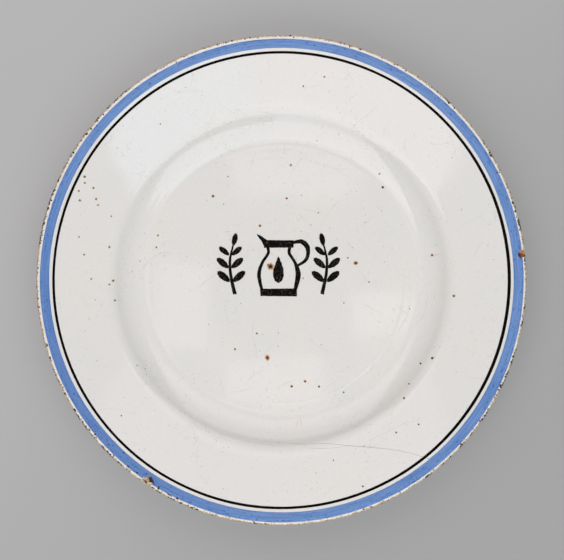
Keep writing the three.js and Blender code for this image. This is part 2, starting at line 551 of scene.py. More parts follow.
def clumped(place: Vector, size: float, between: float, within: float) -> float:
    """Tells whether a place is in a clump of flaws.

    Args:
        place: The place in millimetres.
        size: How far apart the clumps lie.
        between: The noise up to which there are no flaws.
        within: The noise from which they lie at their thickest.

    Returns:
        A share from 0 to 1.
    """
    return smooth_step(noise.noise(place / size), between, within)


@dataclass
class Shape:
    """Points in millimetres and the faces between them, before they become a mesh."""

    points: list[Vector] = field(default_factory=list)
    faces: list[tuple[int, ...]] = field(default_factory=list)
    values: list[float] = field(default_factory=list)

    @classmethod
    def turned(cls, outline: Sequence[Point], segments: int) -> "Shape":
        """Turns a closed outline about the plate's axis.

        Args:
            outline: Distances from the axis and heights. Points on the axis become poles.
            segments: How many steps a full turn takes.

        Returns:
            A closed shape.
        """
        shape = cls()
        rings = [shape.ring(x, y, segments) for x, y in outline]
        shape.skin([*rings, rings[0]])
        return shape

    def skin(self, rings: Sequence[Sequence[int]]) -> None:
        """Lays faces from each ring of points to the next.

        Args:
            rings: The numbers of each ring's points, as many in each. A pole repeats its one.
        """
        for ring, following in pairwise(rings):
            for step in range(len(ring)):
                after = (step + 1) % len(ring)
                face = tuple(dict.fromkeys((ring[step], ring[after], following[after], following[step])))
                if len(face) > 2:
                    self.faces.append(face)

    def rows(self, count: int, first: int = 0) -> list[range]:
        """Numbers the points in rows of this many, from the first point on."""
        return [range(start, start + count) for start in range(first, len(self.points) - count + 1, count)]

    def ring(self, x: float, y: float, segments: int) -> list[int]:
        """Adds the points of one turn, or a single point on the axis.

        Args:
            x: The distance from the axis.
            y: The height.
            segments: How many points a full turn has.

        Returns:
            The numbers of the points, one for each segment.
        """
        first = len(self.points)
        if x < MM:
            self.points.append(Vector((0, 0, y)))
            return [first] * segments
        turns = (360 * step / segments for step in range(segments))
        self.points.extend(Vector((x * cosine(turn), x * sine(turn), y)) for turn in turns)
        return list(range(first, first + segments))

    @classmethod
    def lump(cls, middle: Vector, axes: Sequence[Vector], ruggedness: float, steps: int) -> "Shape":
        """Makes an uneven rounded lump, as clay breaks.

        Args:
            middle: The lump's centre.
            axes: Its three half axes.
            ruggedness: How far the surface leaves the even form, as a share of the size.
            steps: How many times the first twenty faces are divided.

        Returns:
            A closed shape.
        """
        body = bmesh.new()
        bmesh.ops.create_icosphere(body, subdivisions=steps, radius=1)
        shape = cls()
        for vertex in body.verts:
            place = vertex.co * (1 + ruggedness * noise.noise(vertex.co * LUMP_DETAIL + middle))
            shape.points.append(middle + sum((a * p for a, p in zip(axes, place)), Vector()))
        shape.faces = [tuple(vertex.index for vertex in face.verts) for face in body.faces]
        body.free()
        return shape

    @classmethod
    def ribbon(cls, path: Sequence[Point], width: Callable[[float], float], section: Section) -> "Shape":
        """Lays a closed ribbon on the face, along a path.

        Args:
            path: Places on the plate, close together.
            width: Gives the ribbon's width for a share of the way along it.
            section: What the ribbon looks like cut across.

        Returns:
            A closed shape.
        """
        shape = cls()
        for index, (x, y) in enumerate(path):
            before, after = path[max(index - 1, 0)], path[min(index + 1, len(path) - 1)]
            along = Vector((after[0] - before[0], after[1] - before[1])).normalized()
            half = max(width(index / (len(path) - 1)), THINNEST) / 2
            base = FORM.enamel_rise(math.hypot(x, y))
            for side, inset, rise in section.value:
                reach = side * max(half - inset, half * CROWN_SHARE)
                shape.points.append(on_face(x - along.y * reach, y + along.x * reach, base + rise))
        rows = shape.rows(len(section.value))
        shape.skin(rows)
        shape.faces += [tuple(rows[0]), tuple(rows[-1])]
        return shape

    def add(self, other: "Shape") -> None:
        """Takes in another shape's points, faces and values.

        Args:
            other: The shape to take in.
        """
        first = len(self.points)
        self.points.extend(other.points)
        self.values.extend(other.values)
        self.faces.extend(tuple(first + corner for corner in face) for face in other.faces)

    def piece(self, name: str, finish: Material, attribute: str | None = None) -> Object:
        """Makes the shape a piece of the plate, with the handwork in its points.

        Args:
            name: The piece's name.
            finish: Its material.
            attribute: The name that its values are kept under, where it has any.

        Returns:
            The piece, at the origin.
        """
        mesh = bpy.data.meshes.new(name)
        mesh.from_pydata([HAND.settled(point) for point in self.points], [], self.faces)
        if attribute:
            mesh.attributes.new(attribute, "FLOAT", "POINT").data.foreach_set("value", self.values)
        mesh.materials.append(finish)
        face_outwards(mesh)
        return stand(name, mesh)


def face_outwards(mesh: Mesh) -> None:
    """Turns a closed mesh's faces outwards and shades it smooth, apart from its sharp edges.

    Args:
        mesh: The mesh to tidy.
    """
    body = bmesh.new()
    body.from_mesh(mesh)
    bmesh.ops.recalc_face_normals(body, faces=body.faces)
    body.to_mesh(mesh)
    body.free()
    mesh.shade_smooth()
    mesh.set_sharp_from_angle(angle=SHARP_FROM)


def evaluated_copy(piece: Object, name: str) -> Mesh:
    """Gives the mesh that a piece's modifiers make.

    Args:
        piece: The piece with its modifiers.
        name: The new mesh's name.

    Returns:
        A plain mesh.
    """
    graph = bpy.context.evaluated_depsgraph_get()
    mesh = bpy.data.meshes.new_from_object(piece.evaluated_get(graph), preserve_all_data_layers=True, depsgraph=graph)
    mesh.name = name
    return mesh


def break_away(piece: Object, *breaks: Object) -> None:
    """Takes broken places out of a piece. The fresh faces keep the finish of the breaks.

    Args:
        piece: The piece that is chipped.
        breaks: The lumps that are gone.
    """
    for lump in breaks:
        cut = piece.modifiers.new(lump.name, "BOOLEAN")
        cut.operation = "DIFFERENCE"
        cut.object = lump
        cut.solver = "EXACT"
        cut.material_mode = "TRANSFER"
    whole = piece.data
    broken = evaluated_copy(piece, whole.name)
    piece.modifiers.clear()
    piece.data = broken
    bpy.data.meshes.remove(whole)
    broken.set_sharp_from_angle(angle=SHARP_FROM)


def seat(piece: Object, slot: str, *nodes: str) -> Object:
    """Ties a finished piece to the plate's body and reports it.

    Args:
        piece: The piece, with its modifiers gone.
        slot: The name of a material slot. It is not used.
        nodes: The CAD nodes that it stands for.

    Returns:
        The piece.
    """
    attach(piece, BODY)
    if nodes:
        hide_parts(*nodes)
    LOG.info("%s: %d faces, stands for %s", piece.name, len(piece.data.polygons), ", ".join(nodes) or "nothing")
    return piece


class Slot(Enum):
    """The names of the plate's material slots."""

    CLAY = "clay"
    WHITE = "white_glaze"
    BLUE = "blue_enamel"
    BLACK = "black_enamel"


@dataclass(frozen=True)
class Finish:
    """A finish by its common name. Each kind adds its colours and its own way to dress."""

    name: str

    def material(self) -> Material:
        """Makes the finish's material.

        Returns:
            A material with its nodes.
        """
        made = bpy.data.materials.new(self.name)
        made.use_nodes = True
        tree = made.node_tree
        tree.nodes.clear()
        shader = add_node(tree, "ShaderNodeBsdfPrincipled", inputs=self.dress(tree))
        add_node(tree, "ShaderNodeOutputMaterial", inputs={"Surface": self.surface(tree, shader)})
        return made

    def dress(self, tree: NodeTree) -> dict[str, Any]:
        """Gives the shader's inputs: colour, gloss and texture. Each kind of finish has its own."""
        raise NotImplementedError

    def surface(self, tree: NodeTree, shader: Node) -> Node:
        """Gives what meets the eye: the shader itself, unless a kind of finish says more."""
        return shader


def stepped(
    tree: NodeTree, value: Any, low: float, high: float, colours: tuple[Any, str], most: float = 1.0
) -> Node:
    """Changes from one colour to another as a value rises.

    Args:
        tree: The material's tree.
        value: The node or socket that gives the value.
        low: The value up to which the first colour is whole.
        high: The value from which the second colour is at its strongest.
        colours: Both colours. A node may give the first.
        most: The second colour's largest share.

    Returns:
        The node that gives the colour.
    """
    first, second = colours
    span = {"Value": value, "From Min": low, "From Max": high, "To Max": most}
    mix = {
        "Factor": add_node(tree, "ShaderNodeMapRange", inputs=span),
        "A": linear(first) if isinstance(first, str) else first,
        "B": linear(second),
    }
    return add_node(tree, "ShaderNodeMix", {"data_type": "RGBA"}, mix)


def in_millimetres(tree: NodeTree) -> Node:
    """Gives a point's own place on the piece, in millimetres."""
    inputs = {"Vector": add_node(tree, "ShaderNodeTexCoord").outputs["Object"], "Scale": (1 / MM, 1 / MM, 1 / MM)}
    return add_node(tree, "ShaderNodeMapping", inputs=inputs)


def from_axis(tree: NodeTree, place: Node) -> Node:
    """Gives a point's distance from the plate's axis, in millimetres."""
    flat = add_node(tree, "ShaderNodeVectorMath", {"operation": "MULTIPLY"}, {0: place, 1: (1, 1, 0)})
    return add_node(tree, "ShaderNodeVectorMath", {"operation": "LENGTH"}, {0: flat})


def round_the_plate(tree: NodeTree, place: Node, along: float, across: float) -> Node:
    """Gives coordinates in which a pattern follows the turn of the wheel.

    Args:
        tree: The material's tree.
        place: The point's place in millimetres.
        along: The length of a mark round the plate.
        across: Its width from the axis outwards.

    Returns:
        Coordinates with one mark to a unit.
    """
    flat = add_node(tree, "ShaderNodeVectorMath", {"operation": "MULTIPLY"}, {0: place, 1: (1, 1, 0)})
    heading = add_node(tree, "ShaderNodeVectorMath", {"operation": "NORMALIZE"}, {0: flat})
    turn = {0: heading, "Scale": FORM.plate_radius / along}
    wheel = add_node(tree, "ShaderNodeVectorMath", {"operation": "SCALE"}, turn)
    radius = add_node(tree, "ShaderNodeMath", {"operation": "DIVIDE"}, {0: from_axis(tree, place), 1: across})
    out = add_node(tree, "ShaderNodeCombineXYZ", inputs={"Z": radius})
    return add_node(tree, "ShaderNodeVectorMath", {"operation": "ADD"}, {0: wheel, 1: out})


@dataclass(frozen=True)
class WhiteGlaze(Finish):
    """Lead glaze whitened with tin, poured over the ware: glossy, a little uneven, milky."""

    cool: str = "#E5E6E4"
    warm: str = "#EAE7E1"
    thin: str = "#DEDBD5"  # where the glaze is thin and the clay warms it
    cloud: float = 38.0
    mottle: float = 1.1
    wear: float = 9.0
    roughness: Point = (0.03, 0.07)
    lead_index: float = 1.6  # lead makes the glaze bend light more than window glass does
    dimple: float = 3.2  # the soft dents of orange peel
    dimple_depth: float = 0.0008
    ridges: Point = (62.4, 70.3)  # where the template left a fine ridge round the well
    ridge_width: float = 0.7
    ridge_height: float = 0.03

    def dress(self, tree: NodeTree) -> dict[str, Any]:
        """Mixes slow clouds of warm and cool white with a fine mottle, under an even gloss.

        Args:
            tree: The material's tree.

        Returns:
            The shader's inputs.
        """
        place = in_millimetres(tree)
        clouds = add_node(tree, "ShaderNodeTexNoise", inputs={"Vector": place, "Scale": 1 / self.cloud, "Detail": 2.0})
        whites = {"Factor": clouds, "A": linear(self.cool), "B": linear(self.warm)}
        ground = add_node(tree, "ShaderNodeMix", {"data_type": "RGBA"}, whites)
        fine = add_node(tree, "ShaderNodeTexNoise", inputs={"Vector": place, "Scale": 1 / self.mottle, "Detail": 3.0})
        wear = add_node(tree, "ShaderNodeTexNoise", inputs={"Vector": place, "Scale": 1 / self.wear, "Detail": 5.0})
        smooth, dull = self.roughness
        gloss = {"Value": wear, "From Min": 0.3, "From Max": 0.7, "To Min": smooth, "To Max": dull}
        relief = {"Distance": self.dimple_depth * MM, "Height": self.relief(tree, place, clouds)}
        return {
            "Base Color": stepped(tree, fine, 0.5, 0.85, (ground, self.thin), most=0.6),
            "Roughness": add_node(tree, "ShaderNodeMapRange", inputs=gloss),
            "IOR": self.lead_index,
            "Normal": add_node(tree, "ShaderNodeBump", inputs=relief),
        }

    def relief(self, tree: NodeTree, place: Node, clouds: Node) -> Node:
        """Adds the fine ridges round the well to the orange peel, here and there.

        Args:
            tree: The material's tree.
            place: The point's place in millimetres.
            clouds: What the ridges fade by.

        Returns:
            The glaze's height in dimple depths.
        """
        peel = {"Vector": place, "Scale": 1 / self.dimple, "Detail": 2.0}
        height = add_node(tree, "ShaderNodeTexNoise", inputs=peel)
        fading = add_node(tree, "ShaderNodeMapRange", inputs={"Value": clouds, "From Min": 0.4, "From Max": 0.55})
        for ridge in self.ridges:
            off = add_node(tree, "ShaderNodeMath", {"operation": "SUBTRACT"}, {0: from_axis(tree, place), 1: ridge})
            away = add_node(tree, "ShaderNodeMath", {"operation": "ABSOLUTE"}, {0: off})
            near = {"Value": away, "From Min": self.ridge_width, "From Max": 0.0, "To Max": fading}
            raised = add_node(tree, "ShaderNodeMapRange", {"interpolation_type": "SMOOTHSTEP"}, near)
            summed = {0: raised, 1: self.ridge_height / self.dimple_depth, 2: height}
            height = add_node(tree, "ShaderNodeMath", {"operation": "MULTIPLY_ADD"}, summed)
        return height


@dataclass(frozen=True)
class Biscuit(Finish):
    """Once-fired earthenware: cream to tan, dry and open, dark where dirt has entered its pores."""

    pale: str = "#E8DBC4"
    tan: str = "#B8966A"
    grime: str = "#2E1E14"
    white: str = "#F0ECE5"  # what is left of the glaze on the lip
    grain: float = 1.3
    pore: float = 0.9
    soiling: float = 4.0
    worn_from: float = FORM.lip_start + 0.28
    worn_to: float = FORM.lip_start + 0.8
    fraying: float = 2.4  # the size of the notches in the worn glaze's edge
    fray_depth: float = 1.6
    foot_zone: Point = (4.0, 2.0)  # the clay is bare from this height down

    def dress(self, tree: NodeTree) -> dict[str, Any]:
        """Lays tan over cream by grain, thin white on the lip's inner side, and dark pores.

        Args:
            tree: The material's tree.

        Returns:
            The shader's inputs.
        """
        place = in_millimetres(tree)
        grain = add_node(tree, "ShaderNodeTexNoise", inputs={"Vector": place, "Scale": 1 / self.grain, "Detail": 4.0})
        bare = self.bare(tree, place)
        shown = {"Factor": bare, "A": linear(self.white), "B": stepped(tree, grain, 0.35, 0.65, (self.pale, self.tan))}
        pores = add_node(tree, "ShaderNodeTexVoronoi", inputs={"Vector": place, "Scale": 1 / self.pore})
        pits = add_node(tree, "ShaderNodeMapRange", inputs={"Value": pores, "From Min": 0.34, "From Max": 0.2})
        dirt = add_node(tree, "ShaderNodeTexNoise", inputs={"Vector": place, "Scale": 1 / self.soiling, "Detail": 2.0})
        dirty = add_node(tree, "ShaderNodeMapRange", inputs={"Value": dirt, "From Min": 0.46, "From Max": 0.6})
        soiled = {
            "Factor": add_node(tree, "ShaderNodeMath", {"operation": "MULTIPLY"}, {0: pits, 1: dirty}),
            "A": add_node(tree, "ShaderNodeMix", {"data_type": "RGBA"}, shown),
            "B": linear(self.grime),
        }
        relief = {"Strength": 0.6, "Distance": 0.08 * MM, "Height": grain}
        return {
            "Base Color": add_node(tree, "ShaderNodeMix", {"data_type": "RGBA"}, soiled),
            "Roughness": add_node(tree, "ShaderNodeMapRange", inputs={"Value": bare, "To Min": 0.25, "To Max": 0.8}),
            "Normal": add_node(tree, "ShaderNodeBump", inputs=relief),
        }

    def bare(self, tree: NodeTree, place: Node) -> Node:
        """Tells where the clay is bare: outside a frayed line on the lip, and at the foot ring.

        Args:
            tree: The material's tree.
            place: The point's place in millimetres.

        Returns:
            A share from 0 to 1.
        """
        notches = {"Vector": place, "Scale": 1 / self.fraying, "Detail": 3.0}
        ragged = add_node(tree, "ShaderNodeTexNoise", inputs=notches)
        frayed = {0: ragged, 1: self.fray_depth, 2: from_axis(tree, place)}
        edge = add_node(tree, "ShaderNodeMath", {"operation": "MULTIPLY_ADD"}, frayed)
        start, end = self.worn_from + self.fray_depth / 2, self.worn_to + self.fray_depth / 2
        worn = add_node(tree, "ShaderNodeMapRange", inputs={"Value": edge, "From Min": start, "From Max": end})
        height = add_node(tree, "ShaderNodeSeparateXYZ", inputs={"Vector": place}).outputs["Z"]
        top, bottom = self.foot_zone
        low = add_node(tree, "ShaderNodeMapRange", inputs={"Value": height, "From Min": top, "From Max": bottom})
        return add_node(tree, "ShaderNodeMath", {"operation": "MAXIMUM"}, {0: worn, 1: low})


@dataclass(frozen=True)
class BrokenClay(Finish):
    """A fresh break in earthenware: cream and sandy, darker in the low parts of its grain."""

    pale: str = "#E9DAC2"
    tan: str = "#9C8468"
    # the colour of the lowest parts of the grain's relief
    grime: str = "#2A211B"
    lump_size: float = 2.0

    def dress(self, tree: NodeTree) -> dict[str, Any]:
        """Steps from cream over tan to its darkest colour by an uneven grain, darkest where the relief is lowest.

        Args:
            tree: The material's tree.

        Returns:
            The shader's inputs.
        """
        lumps = {"Vector": in_millimetres(tree), "Scale": 1 / self.lump_size, "Detail": 4.0}
        grain = add_node(tree, "ShaderNodeTexNoise", inputs=lumps)
        ramp = add_node(tree, "ShaderNodeValToRGB", inputs={"Fac": grain})
        stops = ramp.color_ramp.elements
        stops[0].position, stops[0].color = 0.36, linear(self.grime)
        stops[1].position, stops[1].color = 0.62, linear(self.pale)
        stops.new(0.46).color = linear(self.tan)
        return {
            "Base Color": ramp,
            "Roughness": 0.85,
            "Normal": add_node(tree, "ShaderNodeBump", inputs={"Distance": 0.15 * MM, "Height": grain}),
        }


@dataclass(frozen=True)
class BandEnamel(Finish):
    """Cobalt banding colour laid on with a full brush on the turning plate: satin, streaked."""

    light: str = "#7298D0"
    main: str = "#527DBB"
    deep: str = "#2F5AA8"
    streak_length: float = 16.0
    streak_width: float = 0.55
    dash_length: float = 2.4
    dash_width: float = 0.55
    dashed: Point = (3.2, 0.8)  # how far inside the glaze's end the dashes thicken
    deep_side: float = -150.0  # where the blue is deepest, towards one side of the plate
    deepening: float = 0.3

    def dress(self, tree: NodeTree) -> dict[str, Any]:
        """Draws the brush's streaks round the plate and the colour's grain between them.

        Args:
            tree: The material's tree.

        Returns:
            The shader's inputs.
        """
        place = in_millimetres(tree)
        brushed = round_the_plate(tree, place, self.streak_length, self.streak_width)
        streaks = add_node(tree, "ShaderNodeTexNoise", inputs={"Vector": brushed, "Scale": 1.0, "Detail": 3.0})
        dashes = round_the_plate(tree, place, self.dash_length, self.dash_width)
        grain = add_node(tree, "ShaderNodeTexNoise", inputs={"Vector": dashes, "Scale": 1.0, "Detail": 3.0})
        start, end = (FORM.lip_start - inside for inside in self.dashed)
        rim = {"Value": from_axis(tree, place), "From Min": start, "From Max": end, "To Min": 0.62, "To Max": 0.5}
        thick = {"Value": grain, "From Min": add_node(tree, "ShaderNodeMapRange", inputs=rim), "From Max": 0.7}
        flecked = add_node(tree, "ShaderNodeMapRange", {"interpolation_type": "SMOOTHSTEP"}, thick)
        # the blue deepens towards one side of the plate
        side = {0: place, 1: (cosine(self.deep_side), sine(self.deep_side), 0)}
        side_reach = {
            "Value": add_node(tree, "ShaderNodeVectorMath", {"operation": "DOT_PRODUCT"}, side),
            "From Min": 0.6 * FORM.plate_radius,
            "From Max": FORM.plate_radius,
            "To Max": self.deepening,
        }
        full = add_node(tree, "ShaderNodeMapRange", inputs=side_reach)
        rich = {
            "Factor": add_node(tree, "ShaderNodeMath", {"operation": "MAXIMUM"}, {0: flecked, 1: full}),
            "A": stepped(tree, streaks, 0.3, 0.7, (self.main, self.light)),
            "B": linear(self.deep),
        }
        relief = {"Strength": 0.5, "Distance": 0.02 * MM, "Height": streaks}
        return {
            "Base Color": add_node(tree, "ShaderNodeMix", {"data_type": "RGBA"}, rich),
            "Roughness": 0.3,
            "Normal": add_node(tree, "ShaderNodeBump", inputs=relief),
        }


@dataclass(frozen=True)
class BlackEnamel(Finish):
    """Black painting colour of iron and manganese: dense, with grey flecks where it is thin."""

    black: str = "#070403"
    fleck: str = "#4A4440"
    fleck_size: float = 0.7
    flecks_from: float = 0.6  # higher leaves fewer flecks
    fleck_edge: float = 0.12

    def dress(self, tree: NodeTree) -> dict[str, Any]:
        """Breaks the black with small grey flecks.

        Args:
            tree: The material's tree.

        Returns:
            The shader's inputs.
        """
        flecks = {"Vector": in_millimetres(tree), "Scale": 1 / self.fleck_size, "Detail": 3.0}
        grain = add_node(tree, "ShaderNodeTexNoise", inputs=flecks)
        whole = self.flecks_from + self.fleck_edge
        return {
            "Base Color": stepped(tree, grain, self.flecks_from, whole, (self.black, self.fleck)),
            "Roughness": 0.5,
            "Specular IOR Level": 0.05,
        }


@dataclass(frozen=True)
class StainedGlaze(Finish):
    """Glaze that iron has bled into: white at the edge, then a halo, then the dark grain itself."""

    white: str = "#E6E2DD"
    halo: str = "#CDAE86"
    rust: str = "#8A4B22"
    core: str = "#1E0F0C"

    def dress(self, tree: NodeTree) -> dict[str, Any]:
        """Colours the spot by how far the iron has come, broken up by a fine grain.

        Args:
            tree: The material's tree.

        Returns:
            The shader's inputs.
        """
        stain = add_node(tree, "ShaderNodeAttribute", {"attribute_name": STAIN}).outputs["Fac"]
        fine = {"Vector": in_millimetres(tree), "Scale": 3.2, "Detail": 3.0}
        grain = add_node(tree, "ShaderNodeTexNoise", inputs=fine)
        ragged = add_node(tree, "ShaderNodeMath", {"operation": "MULTIPLY_ADD"}, {0: grain, 1: 0.3, 2: -0.15})
        bled = add_node(tree, "ShaderNodeMath", {"operation": "MULTIPLY_ADD"}, {0: ragged, 1: stain, 2: stain})
        ramp = add_node(tree, "ShaderNodeValToRGB", inputs={"Fac": bled})
        stops = ramp.color_ramp.elements
        stops[0].position, stops[0].color = 0.0, linear(self.white)
        stops[1].position, stops[1].color = 0.82, linear(self.core)
        for position, colour in ((0.3, self.halo), (0.6, self.rust)):
            stops.new(position).color = linear(colour)
        return {"Base Color": ramp, "Roughness": 0.14}


@dataclass(frozen=True)
class FlawGrain(Finish):
    """Grit and burst bubbles that show through the glaze, in greys and browns."""

    dark: str = "#4A3B30"
    light: str = "#A3907A"
    change: float = 6.0  # how far apart grains of one colour lie

    def dress(self, tree: NodeTree) -> dict[str, Any]:
        """Changes the colour slowly from grain to grain.

        Args:
            tree: The material's tree.

        Returns:
            The shader's inputs.
        """
        slow = {"Vector": in_millimetres(tree), "Scale": 1 / self.change, "Detail": 4.0}
        drift = add_node(tree, "ShaderNodeTexNoise", inputs=slow)
        return {"Base Color": stepped(tree, drift, 0.35, 0.65, (self.dark, self.light)), "Roughness": 0.5}


@dataclass(frozen=True)
class StudioPaper(Finish):
    """Pale grey background paper, dull and even, and clear from underneath.

    The paper's glow is painted light, brighter towards one side like light that falls unevenly.
    It shows to the camera and in the glaze, and lights nothing. A lamp under the table shines
    through the paper, so that the plate's back can be seen.
    """

    grey: str = "#8C8C8C"
    glow: Point = (0.134, 0.235)  # the painted glow at its dark and its bright end
    bright_side: float = 134.0  # the way to the painted glow's bright end, round from the plate's right side
    glow_reach: float = 170.0
    mottle: float = 60.0
    mottle_tone: float = 0.97  # the darker part of the mottle beside the lighter

    def dress(self, tree: NodeTree) -> dict[str, Any]:
        """Gives the paper a faint cloudiness and a painted glow that rises to one side.

        Args:
            tree: The material's tree.

        Returns:
            The shader's inputs.
        """
        place = in_millimetres(tree)
        faint = {"Vector": place, "Scale": 1 / self.mottle, "Detail": 2.0}
        clouds = add_node(tree, "ShaderNodeTexNoise", inputs=faint)
        grey = linear(self.grey)
        cloudy = {"Factor": clouds, "A": grey, "B": (*(channel * self.mottle_tone for channel in grey[:3]), 1.0)}
        # painted light: the glow brightens the paper towards one side, and only the camera and reflections see it
        heading = cosine(self.bright_side), sine(self.bright_side), 0
        along = add_node(tree, "ShaderNodeVectorMath", {"operation": "DOT_PRODUCT"}, {0: place, 1: heading})
        reach, (low, high) = self.glow_reach, self.glow
        rising = {"Value": along, "From Min": -reach, "From Max": reach, "To Min": low, "To Max": high}
        lit = add_node(tree, "ShaderNodeMapRange", {"interpolation_type": "SMOOTHSTEP"}, rising)
        ray = add_node(tree, "ShaderNodeLightPath").outputs
        rays = {0: ray["Is Camera Ray"], 1: ray["Is Glossy Ray"]}
        seen = add_node(tree, "ShaderNodeMath", {"operation": "MAXIMUM"}, rays)
        return {
            "Base Color": add_node(tree, "ShaderNodeMix", {"data_type": "RGBA"}, cloudy),
            "Roughness": 0.9,
            "Specular IOR Level": 0.2,
            "Emission Color": linear("#FFFFFF"),
            "Emission Strength": add_node(tree, "ShaderNodeMath", {"operation": "MULTIPLY"}, {0: lit, 1: seen}),
        }

    def surface(self, tree: NodeTree, shader: Node) -> Node:
        """Lets a view from beneath and the light of the lamp under the table pass.

        Args:
            tree: The material's tree.
            shader: The paper as it looks from above.

        Returns:
            A mix that is clear to both.
        """
        beneath = add_node(tree, "ShaderNodeNewGeometry").outputs["Backfacing"]
        shadow = add_node(tree, "ShaderNodeLightPath").outputs["Is Shadow Ray"]
        passing = add_node(tree, "ShaderNodeMath", {"operation": "MAXIMUM"}, {0: beneath, 1: shadow})
        sides = {0: passing, 1: shader, 2: add_node(tree, "ShaderNodeBsdfTransparent")}
        return add_node(tree, "ShaderNodeMixShader", inputs=sides)


@dataclass(frozen=True)
class Break:
    """A place where the lip has lost a flake: its angle, radius and size along and across the rim."""

    angle: float
    radius: float
    length: float
    width: float
    depth: float

    def lump(self, steps: int) -> Shape:
        """Makes the flake that is gone, sunk into the rim.

        Args:
            steps: How finely the flake is divided.

        Returns:
            A closed shape across the surface of the rim.
        """
        x, y = self.radius * cosine(self.angle), self.radius * sine(self.angle)
        out = face_normal(x, y)
        along = Vector((-sine(self.angle), cosine(self.angle), 0))
        across = along.cross(out)
        axes = along * self.length / 2, across * self.width / 2, out * self.depth
        return Shape.lump(on_face(x, y), axes, ruggedness=0.55, steps=steps)


@dataclass
class RimWear:
    """The chips of the lip: two large ones and the small nibbles of long use."""

    pale: Break = Break(angle=-123.5, radius=120.6, length=6.6, width=4.4, depth=0.9)
    rusty: Break = Break(angle=6.1, radius=120.9, length=4.2, width=3.4, depth=0.8)
    small: tuple[Break, ...] = (
        Break(-142.0, 121.6, 1.3, 0.8, 0.5),
        Break(-139.7, 121.3, 1.1, 0.9, 0.5),
        Break(-133.6, 121.6, 0.9, 0.9, 0.4),
        Break(-120.7, 119.9, 0.7, 1.7, 0.4),
        Break(-117.7, 121.0, 1.9, 0.9, 0.5),
        Break(-115.4, 120.9, 1.5, 0.8, 0.5),
        Break(-80.8, 121.0, 1.0, 0.7, 0.4),
        Break(-155.0, 122.1, 1.3, 0.9, 0.5),
        Break(139.0, 122.1, 0.9, 0.7, 0.4),
        Break(149.5, 121.7, 0.9, 0.7, 0.4),
        Break(151.4, 122.1, 1.1, 0.8, 0.5),
        Break(155.0, 122.1, 1.2, 0.9, 0.5),
        Break(156.2, 121.8, 1.0, 0.8, 0.5),
        Break(61.7, 122.1, 1.1, 0.7, 0.4),
        Break(46.4, 122.2, 0.9, 0.6, 0.4),
        Break(30.0, 122.1, 0.8, 0.6, 0.4),
        Break(26.7, 120.7, 1.2, 1.0, 0.5),
        Break(11.9, 121.7, 1.0, 0.8, 0.5),
    )

    def breaks(self) -> list[Object]:
        """Makes the missing flakes, which the pieces of the rim are cut with.

        Returns:
            The flakes that leave pale clay, and the one that leaves rusty clay.
        """
        flakes = self.pale.lump(steps=4)
        for nibble in self.small:
            flakes.add(nibble.lump(steps=2))
        rusty = BrokenClay("rusty broken earthenware", pale="#C28C4C", tan="#9E652F", grime="#3A1509").material()
        return [
            flakes.piece("flakes", BrokenClay("broken earthenware").material()),
            self.rusty.lump(steps=4).piece("rusty_flake", rusty),
        ]


@dataclass
class ClayBody:
    """The jiggered earthenware body. It shows at the lip, the foot ring, the scars and the chips."""

    segments: int = 480
    hidden_pitch: float = 12.0
    hidden_steps: int = 6
    lip_steps: int = 8
    worn_stretches: tuple[Point, ...] = ((155, 21), (-133, 22), (-30, 24), (13, 9), (31, 2), (47, 2), (62, 2))
    least_worn: float = 0.2  # how worn the lip is elsewhere
    pitted_from: Point = (0.1, 0.6)  # how far out on the lip the pits begin, and lie thickest
    pitted_drop: float = 1.2  # how far under the plate's widest point they end
    clump_size: float = 4.0

    def outline(self) -> list[Point]:
        """Draws the clay under the glaze, with the bare lip and foot ring at full thickness."""
        depth = FORM.glaze_thickness + FORM.bond_gap
        return [
            *(station.sunk(depth) for station in FORM.face(self.hidden_pitch, self.hidden_steps)),
            *(station.sunk(0) for station in FORM.lip(self.lip_steps)),
            *(station.sunk(depth) for station in FORM.back(self.hidden_pitch, self.hidden_steps)),
            *(station.sunk(0) for station in FORM.foot(self.hidden_steps)),
            *(station.sunk(depth) for station in FORM.base(self.hidden_pitch, self.hidden_steps)),
        ]

    def pit_share(self, point: Vector) -> float:
        """Gives how thickly pits lie at a point: only on the lip, and mostly in worn stretches.

        Args:
            point: The point in millimetres.

        Returns:
            A share from 0 to 1.
        """
        start, full = (FORM.lip_start + out for out in self.pitted_from)
        on_lip = smooth_step(math.hypot(point.x, point.y), start, full)
        above = smooth_step(point.z, FORM.lip_height - self.pitted_drop, FORM.lip_height)
        angle = math.degrees(math.atan2(point.y, point.x))
        worn = max(bell(angle, middle, reach) for middle, reach in self.worn_stretches)
        clumps = clumped(Vector((point.x, point.y, 0)), self.clump_size, between=-0.25, within=0.3)
        return on_lip * above * clumps * (self.least_worn + (1 - self.least_worn) * worn)

    def build(self, breaks: Sequence[Object]) -> Object:
        """Turns the body and chips its lip.

        Args:
            breaks: The flakes that are gone.

        Returns:
            The body, in the clay's place.
        """
        shape = Shape.turned(self.outline(), self.segments)
        shape.values = [self.pit_share(point) for point in shape.points]
        body = shape.piece("biscuit_body", Biscuit("once fired earthenware").material(), SHARE)
        break_away(body, *breaks)
        return seat(body, Slot.CLAY.value, "clay_body")


class Side(Enum):
    """The three coats of glaze, with the CAD node that each one stands for."""

    FACE = "face_glaze"
    BACK = "back_glaze"
    BASE = "base_glaze"


